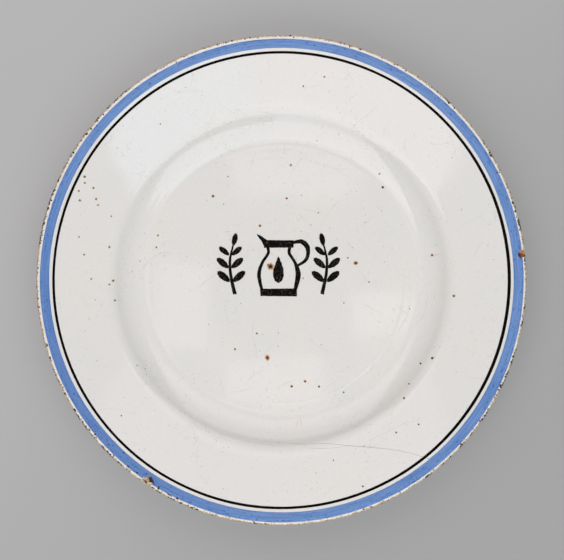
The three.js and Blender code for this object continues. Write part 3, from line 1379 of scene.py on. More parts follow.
@dataclass
class GlazeCoats:
    """The three coats of white glaze, which stop at the lip and at the foot ring's standing face."""

    segments: int = 480
    pitch: float = 2.0
    steps: int = 14
    pin_count: int = 3
    pin_radius: float = 1.3
    pin_first_angle: float = 90.0
    clump_size: float = 22.0
    turn_reach: float = 5.0  # how far from the wall's top the flaws lie thickest
    least_flawed: float = 0.45  # how thickly they lie elsewhere on the face

    def stations(self, side: Side) -> list[Station]:
        """Gives the outer surface of a coat.

        Args:
            side: Which coat.

        Returns:
            The stations of the ware's surface there.
        """
        if side is Side.FACE:
            return FORM.face(self.pitch, self.steps)
        if side is Side.BACK:
            return FORM.back(self.pitch * 2, self.steps // 2)
        return FORM.base(self.pitch * 2, self.steps // 2)

    def scars(self) -> Object:
        """Makes the lumps that the kiln's pins tore out of the flange's back.

        Returns:
            The lumps, as one object.
        """
        outer, inner = FORM.back(FORM.flange_width, 1)[:2]
        x, y = (outer.x + inner.x) / 2, (outer.y + inner.y) / 2
        lumps = Shape()
        for index in range(self.pin_count):
            angle = self.pin_first_angle + index * 360 / self.pin_count
            heading = Vector((cosine(angle), sine(angle), 0))
            out = Vector((heading.x * cosine(outer.outward), heading.y * cosine(outer.outward), sine(outer.outward)))
            along = heading.cross(out).normalized()
            axes = along * self.pin_radius, out.cross(along) * self.pin_radius, out * 2 * FORM.glaze_thickness
            middle = Vector((heading.x * x, heading.y * x, y))
            lumps.add(Shape.lump(middle, axes, ruggedness=0.35, steps=3))
        return lumps.piece("pin_lumps", BrokenClay("torn earthenware").material())

    def build(self, breaks: Sequence[Object]) -> dict[Side, Object]:
        """Pours the three coats, then chips the face and tears the back.

        Args:
            breaks: The flakes that are gone from the rim.

        Returns:
            Each coat by its side.
        """
        finish = WhiteGlaze("poured tin glaze").material()
        scars = self.scars()
        coats = {}
        for side in Side:
            stations = self.stations(side)
            shape = Shape.turned(FORM.coat(stations), self.segments)
            shape.values = [self.flaw_share(side, point) for point in shape.points]
            coat = shape.piece(side.value.replace("glaze", "coat"), finish, SHARE)
            if side is Side.FACE:
                break_away(coat, *breaks)
            if side is Side.BACK:
                break_away(coat, *breaks, scars)
            coats[side] = seat(coat, Slot.WHITE.value, side.value)
        bpy.data.objects.remove(scars)
        return coats

    def flaw_share(self, side: Side, point: Vector) -> float:
        """Gives how thickly flaws lie at a point of a coat.

        Args:
            side: The coat.
            point: The point in millimetres.

        Returns:
            A share from 0 to 1, which is 0 on the clay's side of the coat.
        """
        clumps = clumped(point, self.clump_size, between=-0.35, within=0.45)
        if side is not Side.FACE:
            return clumps
        radius = math.hypot(point.x, point.y)
        if point.z < FORM.face_height(radius) - FORM.glaze_thickness / 3:
            return 0.0
        turn = bell(radius, FORM.wall_top, self.turn_reach)
        return clumps * (self.least_flawed + (1 - self.least_flawed) * turn)


@dataclass
class RimEnamels:
    """The blue band next to the lip and the black line inside it, brushed on the turning plate."""

    segments: int = 720
    edge_width: float = 0.25
    waver: float = 0.11  # how far the brush strayed
    slow_stray: Point = (3.0, 1.3)  # how often it strayed slowly, and how far beside the waver
    quick_stray: Point = (40.0, 0.5)
    line_share: float = 0.6  # the line's waver beside the band's
    margin: float = 0.05  # how far the band keeps inside the glaze's end
    band_shift: float = 0.28  # how far off the plate's middle the band was turned
    shift_angle: float = 124.0  # where that leaves the most white beside the lip
    heavy_angle: float = -8.0  # where the line was started and is thickest
    heavy_width: float = 0.35
    crown_steps: int = 6
    pitted: tuple[tuple[float, float, float], ...] = ((38, 26, 1.0), (-128, 26, 0.9), (-50, 28, 0.4))
    least_pitted: float = 0.13  # how thickly pits lie between these stretches
    pit_line: Point = (0.62, 0.24)  # where across the band they lie thickest, and how far to both sides
    beside_line: float = 0.12  # how thickly they lie away from there
    clump_size: float = 7.0

    def section(self, inner: float, outer: float) -> list[Point]:
        """Draws the section of a brushed ring on the flat.

        Args:
            inner: The ring's inner radius.
            outer: Its outer radius.

        Returns:
            Radii and rises over the glaze, from the inner edge over the crown to the outer one.
        """
        edge = min(self.edge_width, (outer - inner) / 3)
        flat, steps = outer - inner - 2 * edge, self.crown_steps
        crown = [(inner + edge + flat * step / steps, FORM.enamel_thickness) for step in range(steps + 1)]
        return [(inner, 0.0), *crown, (outer, 0.0), (outer, UNDERLAP), (inner, UNDERLAP)]

    def ring(self, inner: float, outer: float, waver: Callable[[float], tuple[float, float]]) -> Shape:
        """Turns a ring whose edges waver as the brush did.

        Args:
            inner: The ring's inner radius.
            outer: Its outer radius.
            waver: Gives the shift of the inner and the outer edge at an angle.

        Returns:
            A closed shape on the face.
        """
        section = self.section(inner, outer)
        shape = Shape()
        for step in range(self.segments):
            angle = 360 * step / self.segments
            shift_in, shift_out = waver(angle)
            for radius, rise in section:
                share = (radius - inner) / (outer - inner)
                placed = radius + shift_in * (1 - share) + shift_out * share
                shape.points.append(on_face(placed * cosine(angle), placed * sine(angle), rise + FORM.bond_gap))
        rows = shape.rows(len(section))
        shape.skin([*rows, rows[0]])
        return shape

    def stray(self, angle: float, seed: float, size: float) -> float:
        """Gives how far a brushed edge leaves its circle.

        Args:
            angle: The place on the circle.
            seed: Sets one edge apart from another.
            size: The furthest that it strays.

        Returns:
            The shift in millimetres.
        """
        heading = Vector((cosine(angle), sine(angle), 0))
        slow = noise.noise(heading * self.slow_stray[0] + Vector((0, 0, seed)))
        quick = noise.noise(heading * self.quick_stray[0] + Vector((0, 0, seed + 5)))
        return size * (slow * self.slow_stray[1] + quick * self.quick_stray[1])

    def band_waver(self, angle: float) -> tuple[float, float]:
        """Gives the strays of the band's edges. The outer one never passes the glaze's end."""
        shift = self.band_shift * (1 + cosine(angle - self.shift_angle))
        return self.stray(angle, 1, self.waver), min(0.0, self.stray(angle, 2, self.waver) - self.margin) - shift

    def line_waver(self, angle: float) -> tuple[float, float]:
        """Gives the strays of the line's edges, with the heavy place where it was started.

        Args:
            angle: The place on the line.

        Returns:
            The shifts of its inner and its outer edge.
        """
        heavy = self.heavy_width * max(0.0, cosine(angle - self.heavy_angle)) ** 3
        inner, outer = (self.stray(angle, seed, self.waver * self.line_share) for seed in (3, 4))
        return inner - heavy / 2, outer + heavy / 2

    def pit_share(self, point: Vector) -> float:
        """Gives how thickly pits lie on the band: most on its outer half, in three stretches.

        Args:
            point: The point in millimetres.

        Returns:
            A share from 0 to 1.
        """
        angle = math.degrees(math.atan2(point.y, point.x))
        across = (math.hypot(point.x, point.y) - FORM.band_inner) / FORM.band_width
        outer = self.beside_line + (1 - self.beside_line) * bell(across, *self.pit_line)
        stretches = (share * bell(angle, middle, reach) for middle, reach, share in self.pitted)
        around = min(1.0, sum(stretches, self.least_pitted))
        return outer * around * clumped(point, self.clump_size, between=-0.3, within=0.4)

    def build(self, breaks: Sequence[Object]) -> Object:
        """Lays the band and the line, and chips the band.

        Args:
            breaks: The flakes that are gone from the rim.

        Returns:
            The band, which the pits lie in.
        """
        shape = self.ring(FORM.band_inner, FORM.band_outer, self.band_waver)
        shape.values = [self.pit_share(point) for point in shape.points]
        band = shape.piece("blue_band", BandEnamel("cobalt banding enamel").material(), SHARE)
        break_away(band, *breaks)
        seat(band, Slot.BLUE.value, "blue_rim_band")
        line = self.ring(FORM.line_outer - FORM.line_width, FORM.line_outer, self.line_waver)
        black = BlackEnamel("black lining enamel", flecks_from=0.76).material()
        seat(line.piece("black_line", black), Slot.BLACK.value, "black_rim_line")
        return band


@dataclass(frozen=True)
class Stroke:
    """One stroke of the brush: the points that it passes through and its width on the way."""

    corners: tuple[Point, ...]
    widths: tuple[float, ...]
    step: float = 0.3

    def path(self) -> list[Point]:
        """Runs a smooth line through the stroke's points.

        Returns:
            Points at an even step along the line.
        """
        held = [Vector(corner) for corner in (self.corners[0], *self.corners, self.corners[-1])]
        line = []
        for before, start, end, after in zip(held, held[1:], held[2:], held[3:]):
            steps = max(2, math.ceil((end - start).length / self.step))
            for t in (count / steps for count in range(steps)):
                bend = (2 * before - 5 * start + 4 * end - after) * t * t
                swing = (3 * start - before - 3 * end + after) * t**3
                line.append(tuple((2 * start + (end - before) * t + bend + swing) / 2))
        return [*line, self.corners[-1]]

    def width(self, share: float) -> float:
        """Gives the stroke's width.

        Args:
            share: How far along the stroke, from 0 to 1.

        Returns:
            The width in millimetres.
        """
        place = share * (len(self.widths) - 1)
        start = min(int(place), len(self.widths) - 2)
        first, last = self.widths[start], self.widths[start + 1]
        return first + (last - first) * smooth_step(place - start, 0, 1)


@dataclass
class PaintedJug:
    """The painted sign in the well: a milk jug with a drop on it, between two leafy sprigs.

    The strokes are as broad and as narrow as a sign painter's flat brush makes them.
    """

    middle: Point = (-1.5, 9.0)
    scale: float = 1.12
    tremble: float = 0.1
    tremble_rate: float = 0.9
    layer: float = 0.004  # how much later strokes lie over earlier ones
    sprig_reach: float = 21.5
    leaf_length: float = 7.4
    leaf: tuple[float, ...] = (0.1, 1.9, 2.9, 3.1, 2.2, 0.1)
    leaf_lean: float = 50.0
    leaf_root: float = 0.6  # how far beside the stem a leaf starts
    leaf_pairs: tuple[tuple[float, float, float], ...] = ((-0.2, -8.8, 1.0), (0.4, -2.6, 0.95), (0.2, 3.2, 0.8))
    stem: tuple[Point, ...] = ((-1.8, -14.4), (0.0, -6.0), (0.4, 1.0), (-1.0, 7.6))
    stem_widths: tuple[float, ...] = (1.7, 1.3, 0.8)
    tip_leaf: tuple[float, float, float] = (-1.1, 7.4, 0.8)  # a leaf's bow from the stem's line, height and size
    tip_lean: float = 12.0
    jug: tuple[Stroke, ...] = (
        Stroke(((-6.6, 8.3), (6.9, 8.3)), (3.5, 3.3)),
        Stroke(((-5.6, 8.6), (-7.4, 10.6), (-9.6, 12.6)), (3.0, 1.7, 0.5)),
        Stroke(((-5.0, 7.4), (-4.6, 4.2), (-7.4, -0.4), (-8.8, -5.6), (-7.4, -12.8)), (1.4, 1.3, 1.7, 1.3)),
        Stroke(((5.3, 7.4), (4.9, 4.2), (7.6, -0.4), (8.9, -5.6), (7.5, -12.8)), (1.5, 1.3, 2.4, 1.6)),
        Stroke(((-8.2, -13.6), (8.3, -13.6)), (3.3, 3.6)),
        Stroke(((6.2, 8.8), (10.6, 9.3), (13.3, 6.2), (12.6, 1.4), (8.6, -1.6)), (1.3, 2.3, 1.6, 1.1)),
        Stroke(((0.0, 2.6), (0.0, -9.4)), (0.2, 1.5, 3.1, 4.6, 4.9, 3.7, 0.3)),
    )

    def sprig(self, side: int) -> list[Stroke]:
        """Draws a sprig beside the jug: a stem, three pairs of leaves and one at the tip.

        Args:
            side: 1 for the right sprig and -1 for the left one.

        Returns:
            Its strokes.
        """
        strokes = [Stroke(tuple((side * (self.sprig_reach + bow), y) for bow, y in self.stem), self.stem_widths)]
        for bow, y, size in self.leaf_pairs:
            x = side * (self.sprig_reach + bow)
            for lean in (1, -1):
                strokes.append(self.dab((x + lean * self.leaf_root, y), 90 - lean * self.leaf_lean, size))
        bow, y, size = self.tip_leaf
        strokes.append(self.dab((side * (self.sprig_reach + bow), y), 90 + side * self.tip_lean, size))
        return strokes

    def dab(self, root: Point, angle: float, size: float) -> Stroke:
        """Draws a leaf as one dab of the brush.

        Args:
            root: Where the dab starts.
            angle: The way that it points.
            size: Its size beside a full leaf.

        Returns:
            The dab.
        """
        length = self.leaf_length * size
        tip = root[0] + length * cosine(angle), root[1] + length * sine(angle)
        return Stroke((root, tip), tuple(width * size for width in self.leaf))

    def placed(self, x: float, y: float) -> Point:
        """Gives a point of the drawing its place in the well, with the tremble of the hand."""
        shift = noise.noise_vector(Vector((x, y, 0)) * self.tremble_rate) * self.tremble
        return self.middle[0] + (x + shift.x) * self.scale, self.middle[1] + (y + shift.y) * self.scale

    def build(self) -> None:
        """Paints the jug and the sprigs."""
        sign = Shape()
        for number, stroke in enumerate([*self.jug, *self.sprig(1), *self.sprig(-1)]):
            path = [self.placed(x, y) for x, y in stroke.path()]
            painted = Shape.ribbon(path, lambda share: self.scale * stroke.width(share), Section.BRUSHED)
            for point in painted.points:
                point.z += FORM.bond_gap + number * self.layer
            sign.add(painted)
        black = BlackEnamel("black painting enamel", flecks_from=0.56).material()
        seat(sign.piece("painted_jug", black), Slot.BLACK.value)


class Tint(Enum):
    """The colours that a grain of iron or grit bleeds to: halo, rust and core."""

    BROWN = ("#D2B58E", "#8A4F26", "#1F100C")
    RED = ("#D9B39B", "#A03A1E", "#5A140C")
    GREY = ("#C9C4BC", "#8C857C", "#3A3430")
    TAN = ("#D8CBB0", "#A5875A", "#6B4F2C")


@dataclass(frozen=True)
class Spot:
    """A stain in the glaze of the face: its place, its dark core and the reach of its halo."""

    x: float
    y: float
    core: float
    halo: float
    swell: ClassVar[float] = 0.02
    sunk: ClassVar[float] = 0.004  # how deep the blister's edge lies in the glaze
    raggedness: ClassVar[float] = 0.45
    halo_stain: ClassVar[float] = 0.62  # the stain beside the core
    core_rings: ClassVar[Point] = (0.5, 1.0)
    solid: ClassVar[float] = 0.8  # how much of the core is dark right through
    halo_rings: ClassVar[tuple[float, ...]] = (0.45, 0.7, 1.0)

    def blister(self, segments: int = 16) -> Shape:
        """Makes the stained glaze a very low blister, level with the glaze at its edge.

        Args:
            segments: How many steps a turn takes.

        Returns:
            A closed shape with the stain at each point.
        """
        solid = self.solid * self.core
        core, halo = (share * self.core for share in self.core_rings), (share * self.halo for share in self.halo_rings)
        reaches = sorted({solid, *core, *halo})
        shape = Shape([on_face(self.x, self.y, self.swell)], [], [1.0])
        for reach in reaches:
            for step in range(segments):
                angle = 360 * step / segments
                heading = Vector((cosine(angle), sine(angle), 0))
                ragged = 1 + self.raggedness * noise.noise(heading * 1.6 + Vector((self.x, self.y, 0)) * 3)
                x, y = self.x + heading.x * reach * ragged, self.y + heading.y * reach * ragged
                inward = reach / self.halo
                rise = self.swell * (1 - inward**2) - self.sunk * (reach == self.halo)
                shape.points.append(on_face(x, y, rise))
                bled = self.halo_stain * smooth_step(reach, self.halo, self.core)
                shape.values.append(1.0 if reach <= solid else bled)
        shape.points.append(on_face(self.x, self.y, UNDERLAP))
        shape.values.append(0.0)
        poles = [0] * segments, [len(shape.points) - 1] * segments
        shape.skin([poles[0], *shape.rows(segments, first=1), poles[1]])
        return shape


@dataclass
class IronSpots:
    """The larger stains of the face, where grains of iron came up through the glaze."""

    brown: tuple[Spot, ...] = (
        Spot(-5.5, 6.9, 0.8, 2.3), Spot(-6.7, 7.8, 0.25, 0.8), Spot(37.6, 8.6, 0.5, 1.5),
        Spot(-7.1, -39.3, 0.5, 1.7), Spot(-34.6, 42.5, 0.35, 1.0), Spot(51.3, 46.9, 0.5, 0.9),
        Spot(86.6, -8.0, 0.35, 0.9), Spot(75.8, -39.2, 0.45, 0.8), Spot(70.1, -42.0, 0.35, 0.7),
        Spot(61.6, -59.3, 0.35, 0.7), Spot(40.7, -103.2, 0.35, 0.6), Spot(-10.9, 27.5, 0.3, 1.0),
        Spot(5.2, -53.8, 0.35, 0.9), Spot(12.0, -51.2, 0.35, 0.9), Spot(31.5, -56.8, 0.3, 0.6),
        Spot(76.1, 12.6, 0.3, 0.9), Spot(68.8, -72.3, 0.3, 0.6), Spot(57.6, -76.4, 0.3, 0.6),
        Spot(-12.5, -27.0, 0.25, 0.7), Spot(-23.5, -35.0, 0.25, 0.7), Spot(44.4, -1.0, 0.2, 0.6),
        Spot(-11.2, 2.6, 0.2, 0.9), Spot(21.5, 101.8, 0.3, 0.6), Spot(11.0, 97.2, 0.3, 0.6),
    )
    tan: tuple[Spot, ...] = (
        Spot(-98.4, 51.7, 0.45, 0.8), Spot(-98.4, 48.6, 0.35, 0.7), Spot(-94.1, 46.1, 0.4, 0.8),
        Spot(-101.4, 44.6, 0.35, 0.7), Spot(-100.9, 39.9, 0.4, 0.8), Spot(-92.9, 40.6, 0.4, 0.8),
        Spot(-91.9, 37.6, 0.3, 0.7), Spot(-86.4, 16.6, 0.35, 0.8), Spot(-101.4, 21.6, 0.3, 0.6),
        Spot(-98.9, 12.8, 0.35, 0.7), Spot(-84.6, -0.3, 0.4, 0.9), Spot(-86.4, -2.2, 0.3, 0.7),
        Spot(-85.4, 32.1, 0.3, 0.6), Spot(-95.4, 0.6, 0.3, 0.7), Spot(-83.7, -10.2, 0.35, 0.7),
        Spot(-63.3, 16.6, 0.3, 0.7), Spot(-62.5, 22.6, 0.3, 0.8), Spot(49.6, 53.8, 0.35, 0.7),
    )
    red: tuple[Spot, ...] = (
        Spot(19.0, -53.9, 0.44, 0.72), Spot(33.6, 11.3, 0.32, 0.48), Spot(31.6, -11.6, 0.24, 0.4),
        Spot(11.0, 0.9, 0.2, 0.48), Spot(2.7, 41.4, 0.4, 0.64), Spot(18.7, 34.1, 0.2, 0.56),
    )
    grey: tuple[Spot, ...] = (
        Spot(64.1, -52.2, 0.31, 0.5), Spot(26.1, -90.4, 0.28, 0.43), Spot(-29.3, 38.4, 0.22, 0.37),
        Spot(-27.1, 52.4, 0.25, 0.43), Spot(-80.1, -67.9, 0.28, 0.5), Spot(-72.5, -42.9, 0.22, 0.37),
        Spot(-60.7, 78.3, 0.25, 0.5), Spot(-1.5, -26.8, 0.19, 0.31), Spot(-1.7, -33.5, 0.19, 0.31),
        Spot(20.2, -32.7, 0.19, 0.31), Spot(10.2, 42.9, 0.19, 0.31), Spot(4.8, 58.2, 0.25, 0.93),
    )

    def build(self) -> None:
        """Makes one piece of the spots of each colour."""
        colours = {Tint.BROWN: self.brown, Tint.RED: self.red, Tint.GREY: self.grey, Tint.TAN: self.tan}
        for tint, spots in colours.items():
            name = tint.name.lower()
            halo, rust, core = tint.value
            finish = StainedGlaze(f"{name} stained glaze", halo=halo, rust=rust, core=core).material()
            shape = Shape()
            for spot in spots:
                shape.add(spot.blister())
            seat(shape.piece(f"{name}_spots", finish, STAIN), Slot.WHITE.value)


@dataclass(frozen=True)
class Strewing:
    """Small marks strewn over a piece, as thickly as its own share of them says, with a fixed seed."""

    name: str
    to_square_centimetre: float
    smallest: float
    largest: float
    thickness: float
    seed: int
    unit: ClassVar[float] = 1.0  # what a mark's thickness is measured in

    @classmethod
    def tree(cls) -> NodeTree:
        """Builds the node tree that strews this kind of mark.

        Returns:
            A tree whose inputs are the surface, density, sizes, thickness, seed and finish.
        """
        tree = bpy.data.node_groups.new(f"{cls.__name__.lower()} tree", "GeometryNodeTree")
        sizes = dict.fromkeys(("Density", "Smallest", "Largest", "Thickness"), "Float")
        for name, kind in {"Surface": "Geometry", **sizes, "Seed": "Int", "Finish": "Material"}.items():
            tree.interface.new_socket(name=name, in_out="INPUT", socket_type=f"NodeSocket{kind}")
        tree.interface.new_socket(name="Marks", in_out="OUTPUT", socket_type="NodeSocketGeometry")
        given = add_node(tree, "NodeGroupInput").outputs
        seed = given["Seed"]
        share = add_node(tree, "GeometryNodeInputNamedAttribute", {"data_type": "FLOAT"}, {"Name": SHARE})
        thinned = {0: given["Density"], 1: share}
        density = add_node(tree, "ShaderNodeMath", {"operation": "MULTIPLY"}, thinned)
        ground = {"Mesh": given["Surface"], "Density": density, "Seed": seed}
        points = add_node(tree, "GeometryNodeDistributePointsOnFaces", {"distribute_method": "RANDOM"}, ground)
        turns = {"Min": 0.0, "Max": math.tau, "Seed": seed}
        about = {
            "Axis": (0, 0, 1),
            "Angle": add_node(tree, "FunctionNodeRandomValue", {"data_type": "FLOAT"}, turns),
        }
        spin = {
            "Rotation": points.outputs["Rotation"],
            "Rotate By": add_node(tree, "FunctionNodeAxisAngleToRotation", inputs=about),
        }
        mark, size = cls.mark(tree, given)
        places = {
            "Points": points,
            "Instance": mark,
            "Rotation": add_node(tree, "FunctionNodeRotateRotation", {"rotation_space": "LOCAL"}, spin),
            "Scale": size,
        }
        strewn = add_node(tree, "GeometryNodeInstanceOnPoints", inputs=places)
        real = add_node(tree, "GeometryNodeRealizeInstances", inputs={"Geometry": strewn})
        dressed = {"Geometry": cls.laid(tree, given, real), "Material": given["Finish"]}
        finished = add_node(tree, "GeometryNodeSetMaterial", inputs=dressed)
        add_node(tree, "NodeGroupOutput", inputs={"Marks": finished})
        return tree

    @classmethod
    def mark(cls, tree: NodeTree, given: Mapping[str, Any]) -> tuple[Node, Node]:
        """Gives the form that is strewn and what gives its size at each point."""
        raise NotImplementedError

    @classmethod
    def laid(cls, tree: NodeTree, given: Mapping[str, Any], marks: Node) -> Node:
        """Gives the marks as they lie on the surface: as they were strewn, unless a kind says more."""
        return marks

    def over(self, surface: Object, tree: NodeTree, finish: Material) -> Object:
        """Strews the marks over a piece.

        Args:
            surface: The piece, with its share of marks at each point.
            tree: The tree that strews them.
            finish: The marks' material.

        Returns:
            The marks, as a piece of their own.
        """
        carrier = stand(f"{self.name}_carrier", surface.data)
        growth = carrier.modifiers.new(self.name, "NODES")
        growth.node_group = tree
        values = {
            "Density": self.to_square_centimetre / CENTIMETRE**2,
            "Smallest": self.smallest * MM,
            "Largest": self.largest * MM,
            "Thickness": self.thickness * self.unit,
            "Seed": self.seed,
            "Finish": finish,
        }
        for item in tree.interface.items_tree:
            if item.in_out == "INPUT" and item.name in values:
                growth[item.identifier] = values[item.name]
        mesh = evaluated_copy(carrier, self.name)
        carrier.modifiers.remove(growth)
        bpy.data.objects.remove(carrier)
        mesh.shade_smooth()
        return stand(self.name, mesh)


@dataclass(frozen=True)
class Sowing(Strewing):
    """Grains and burst bubbles. Their thickness is a share of their width."""

    rarity: ClassVar[float] = 2.5  # higher leaves fewer of the larger grains

    @classmethod
    def mark(cls, tree: NodeTree, given: Mapping[str, Any]) -> tuple[Node, Node]:
        """Makes a flat uneven grain, of which the large ones are rare.

        Args:
            tree: The tree that strews it.
            given: The tree's inputs.

        Returns:
            The grain and its scale.
        """
        seed = given["Seed"]
        grain = add_node(tree, "GeometryNodeMeshUVSphere", inputs={"Segments": 8, "Rings": 4, "Radius": 0.5})
        chances = {"Min": 0.0, "Max": 1.0, "Seed": seed}
        rolled = add_node(tree, "FunctionNodeRandomValue", {"data_type": "FLOAT"}, chances)
        rare = add_node(tree, "ShaderNodeMath", {"operation": "POWER"}, {0: rolled, 1: cls.rarity})
        sizes = {"Value": rare, "To Min": given["Smallest"], "To Max": given["Largest"]}
        size = add_node(tree, "ShaderNodeMapRange", inputs=sizes)
        sides = {"Min": (0.75, 0.55, 1.0), "Max": (1.3, 1.0, 1.0), "Seed": seed}
        stretch = add_node(tree, "FunctionNodeRandomValue", {"data_type": "FLOAT_VECTOR"}, sides)
        flat = add_node(tree, "ShaderNodeCombineXYZ", inputs={"X": 1.0, "Y": 1.0, "Z": given["Thickness"]})
        uneven = add_node(tree, "ShaderNodeVectorMath", {"operation": "MULTIPLY"}, {0: stretch, 1: flat})
        return grain, add_node(tree, "ShaderNodeVectorMath", {"operation": "SCALE"}, {0: uneven, "Scale": size})


@dataclass(frozen=True)
class Scratching(Strewing):
    """Fine scratches of knives and stacked plates. Their thickness is in millimetres."""

    unit: ClassVar[float] = MM
    bend: ClassVar[float] = 0.12  # of the length
    taper: ClassVar[Point] = (3.6, 0.1)  # how fast the section grows from each end, and its share there

    @classmethod
    def mark(cls, tree: NodeTree, given: Mapping[str, Any]) -> tuple[Node, Node]:
        """Makes a line that is slightly bent.

        Args:
            tree: The tree that strews it.
            given: The tree's inputs.

        Returns:
            The line, one metre long, and its length on the plate.
        """
        bow = {"Resolution": 12, "Start": (-0.5, 0, 0), "Middle": (0, cls.bend, 0), "End": (0.5, 0, 0)}
        path = add_node(tree, "GeometryNodeCurveQuadraticBezier", inputs=bow)
        lengths = {"Min": given["Smallest"], "Max": given["Largest"], "Seed": given["Seed"]}
        return path, add_node(tree, "FunctionNodeRandomValue", {"data_type": "FLOAT"}, lengths)

    @classmethod
    def laid(cls, tree: NodeTree, given: Mapping[str, Any], marks: Node) -> Node:
        """Presses the lines to the surface and gives them a section that tapers to both ends.

        Args:
            tree: The tree that strews them.
            given: The tree's inputs.
            marks: The lines.

        Returns:
            The scratches.
        """
        nearest = add_node(tree, "GeometryNodeProximity", {"target_element": "FACES"}, {"Geometry": given["Surface"]})
        along = add_node(tree, "GeometryNodeSplineParameter")
        back = add_node(tree, "ShaderNodeMath", {"operation": "SUBTRACT"}, {0: 1.0, 1: along})
        both = add_node(tree, "ShaderNodeMath", {"operation": "MULTIPLY"}, {0: along, 1: back})
        growth, least = cls.taper
        round_section = {"Resolution": 4, "Radius": given["Thickness"]}
        swept = {
            "Curve": add_node(tree, "GeometryNodeSetPosition", inputs={"Geometry": marks, "Position": nearest}),
            "Profile Curve": add_node(tree, "GeometryNodeCurvePrimitiveCircle", {"mode": "RADIUS"}, round_section),
            "Scale": add_node(tree, "ShaderNodeMath", {"operation": "MULTIPLY_ADD"}, {0: both, 1: growth, 2: least}),
            "Fill Caps": True,
        }
        return add_node(tree, "GeometryNodeCurveToMesh", inputs=swept)


@dataclass
class TableWear:
    """What use left on the face: long scratches of knives, and short ones that hold dirt."""

    scratches: Scratching = Scratching("use_scratches", 1.5, 3.0, 17.0, 0.05, seed=11)
    ticks: Scratching = Scratching("dirty_ticks", 7.0, 0.6, 2.6, 0.045, seed=23)

    def build(self, face: Object) -> None:
        """Lays both kinds on the face.

        Args:
            face: The coat of glaze that the table wears.
        """
        tree = Scratching.tree()
        scuffed = FlawGrain("scuffed glaze", dark="#B9B4AC", light="#D2CEC8").material()
        dirty = FlawGrain("dirt in short scratches", dark="#8C8072", light="#BDB4A8").material()
        seat(self.scratches.over(face, tree, scuffed), Slot.WHITE.value)
        seat(self.ticks.over(face, tree, dirty), Slot.WHITE.value)


@dataclass
class KilnFlaws:
    """What the kiln left all over the ware: grit and pinholes in the glaze, band, lip and back."""

    pinholes: Sowing = Sowing("pinholes", 2.6, 0.22, 0.62, 0.12, seed=3)
    faint_specks: Sowing = Sowing("faint_specks", 6, 0.16, 0.42, 0.1, seed=19)
    band_pits: Sowing = Sowing("band_pits", 90, 0.22, 0.6, 0.25, seed=5)
    lip_pits: Sowing = Sowing("lip_pits", 330, 0.36, 1.3, 0.3, seed=7)
    back_grit: Sowing = Sowing("back_grit", 1.0, 0.25, 0.8, 0.15, seed=13)
    base_grit: Sowing = Sowing("base_grit", 1.2, 0.25, 0.7, 0.15, seed=17)

    def build(self, coats: Mapping[Side, Object], band: Object, body: Object) -> None:
        """Strews the flaws over the finished pieces.

        Args:
            coats: The three coats of glaze.
            band: The blue band.
            body: The clay body.
        """
        tree = Sowing.tree()
        grit = FlawGrain("grit under glaze").material()
        faint = FlawGrain("faint tan specks", dark="#B39A78", light="#CBBBA2").material()
        navy = FlawGrain("pitted cobalt", dark="#16264F", light="#36579C").material()
        burnt = FlawGrain("burnt clay grit", dark="#0F0806", light="#4A2E16").material()
        white, blue, clay = Slot.WHITE.value, Slot.BLUE.value, Slot.CLAY.value
        seat(self.pinholes.over(coats[Side.FACE], tree, grit), white)
        seat(self.faint_specks.over(coats[Side.FACE], tree, faint), white)
        seat(self.back_grit.over(coats[Side.BACK], tree, grit), white)
        seat(self.base_grit.over(coats[Side.BASE], tree, grit), white)
        seat(self.band_pits.over(band, tree, navy), blue)
        seat(self.lip_pits.over(body, tree, burnt), clay)


@dataclass(frozen=True)
class Trace:
    """A thin line on the face: its corners and its widths on the way."""

    corners: tuple[Point, ...]
    widths: tuple[float, ...]
    unevenness: float = 0.2
    bend_length: float = 2.6
    step: float = 0.8

    def shape(self) -> Shape:
        """Draws the trace as an unsteady line.

        Returns:
            A closed shape on the face.
        """
        stroke = Stroke(self.corners, self.widths, self.step)
        path = []
        for x, y in stroke.path():
            stray = noise.noise_vector(Vector((x, y, 0)) / self.bend_length) * self.unevenness
            path.append((x + stray.x, y + stray.y))
        return Shape.ribbon(path, stroke.width, Section.HAIRLINE)


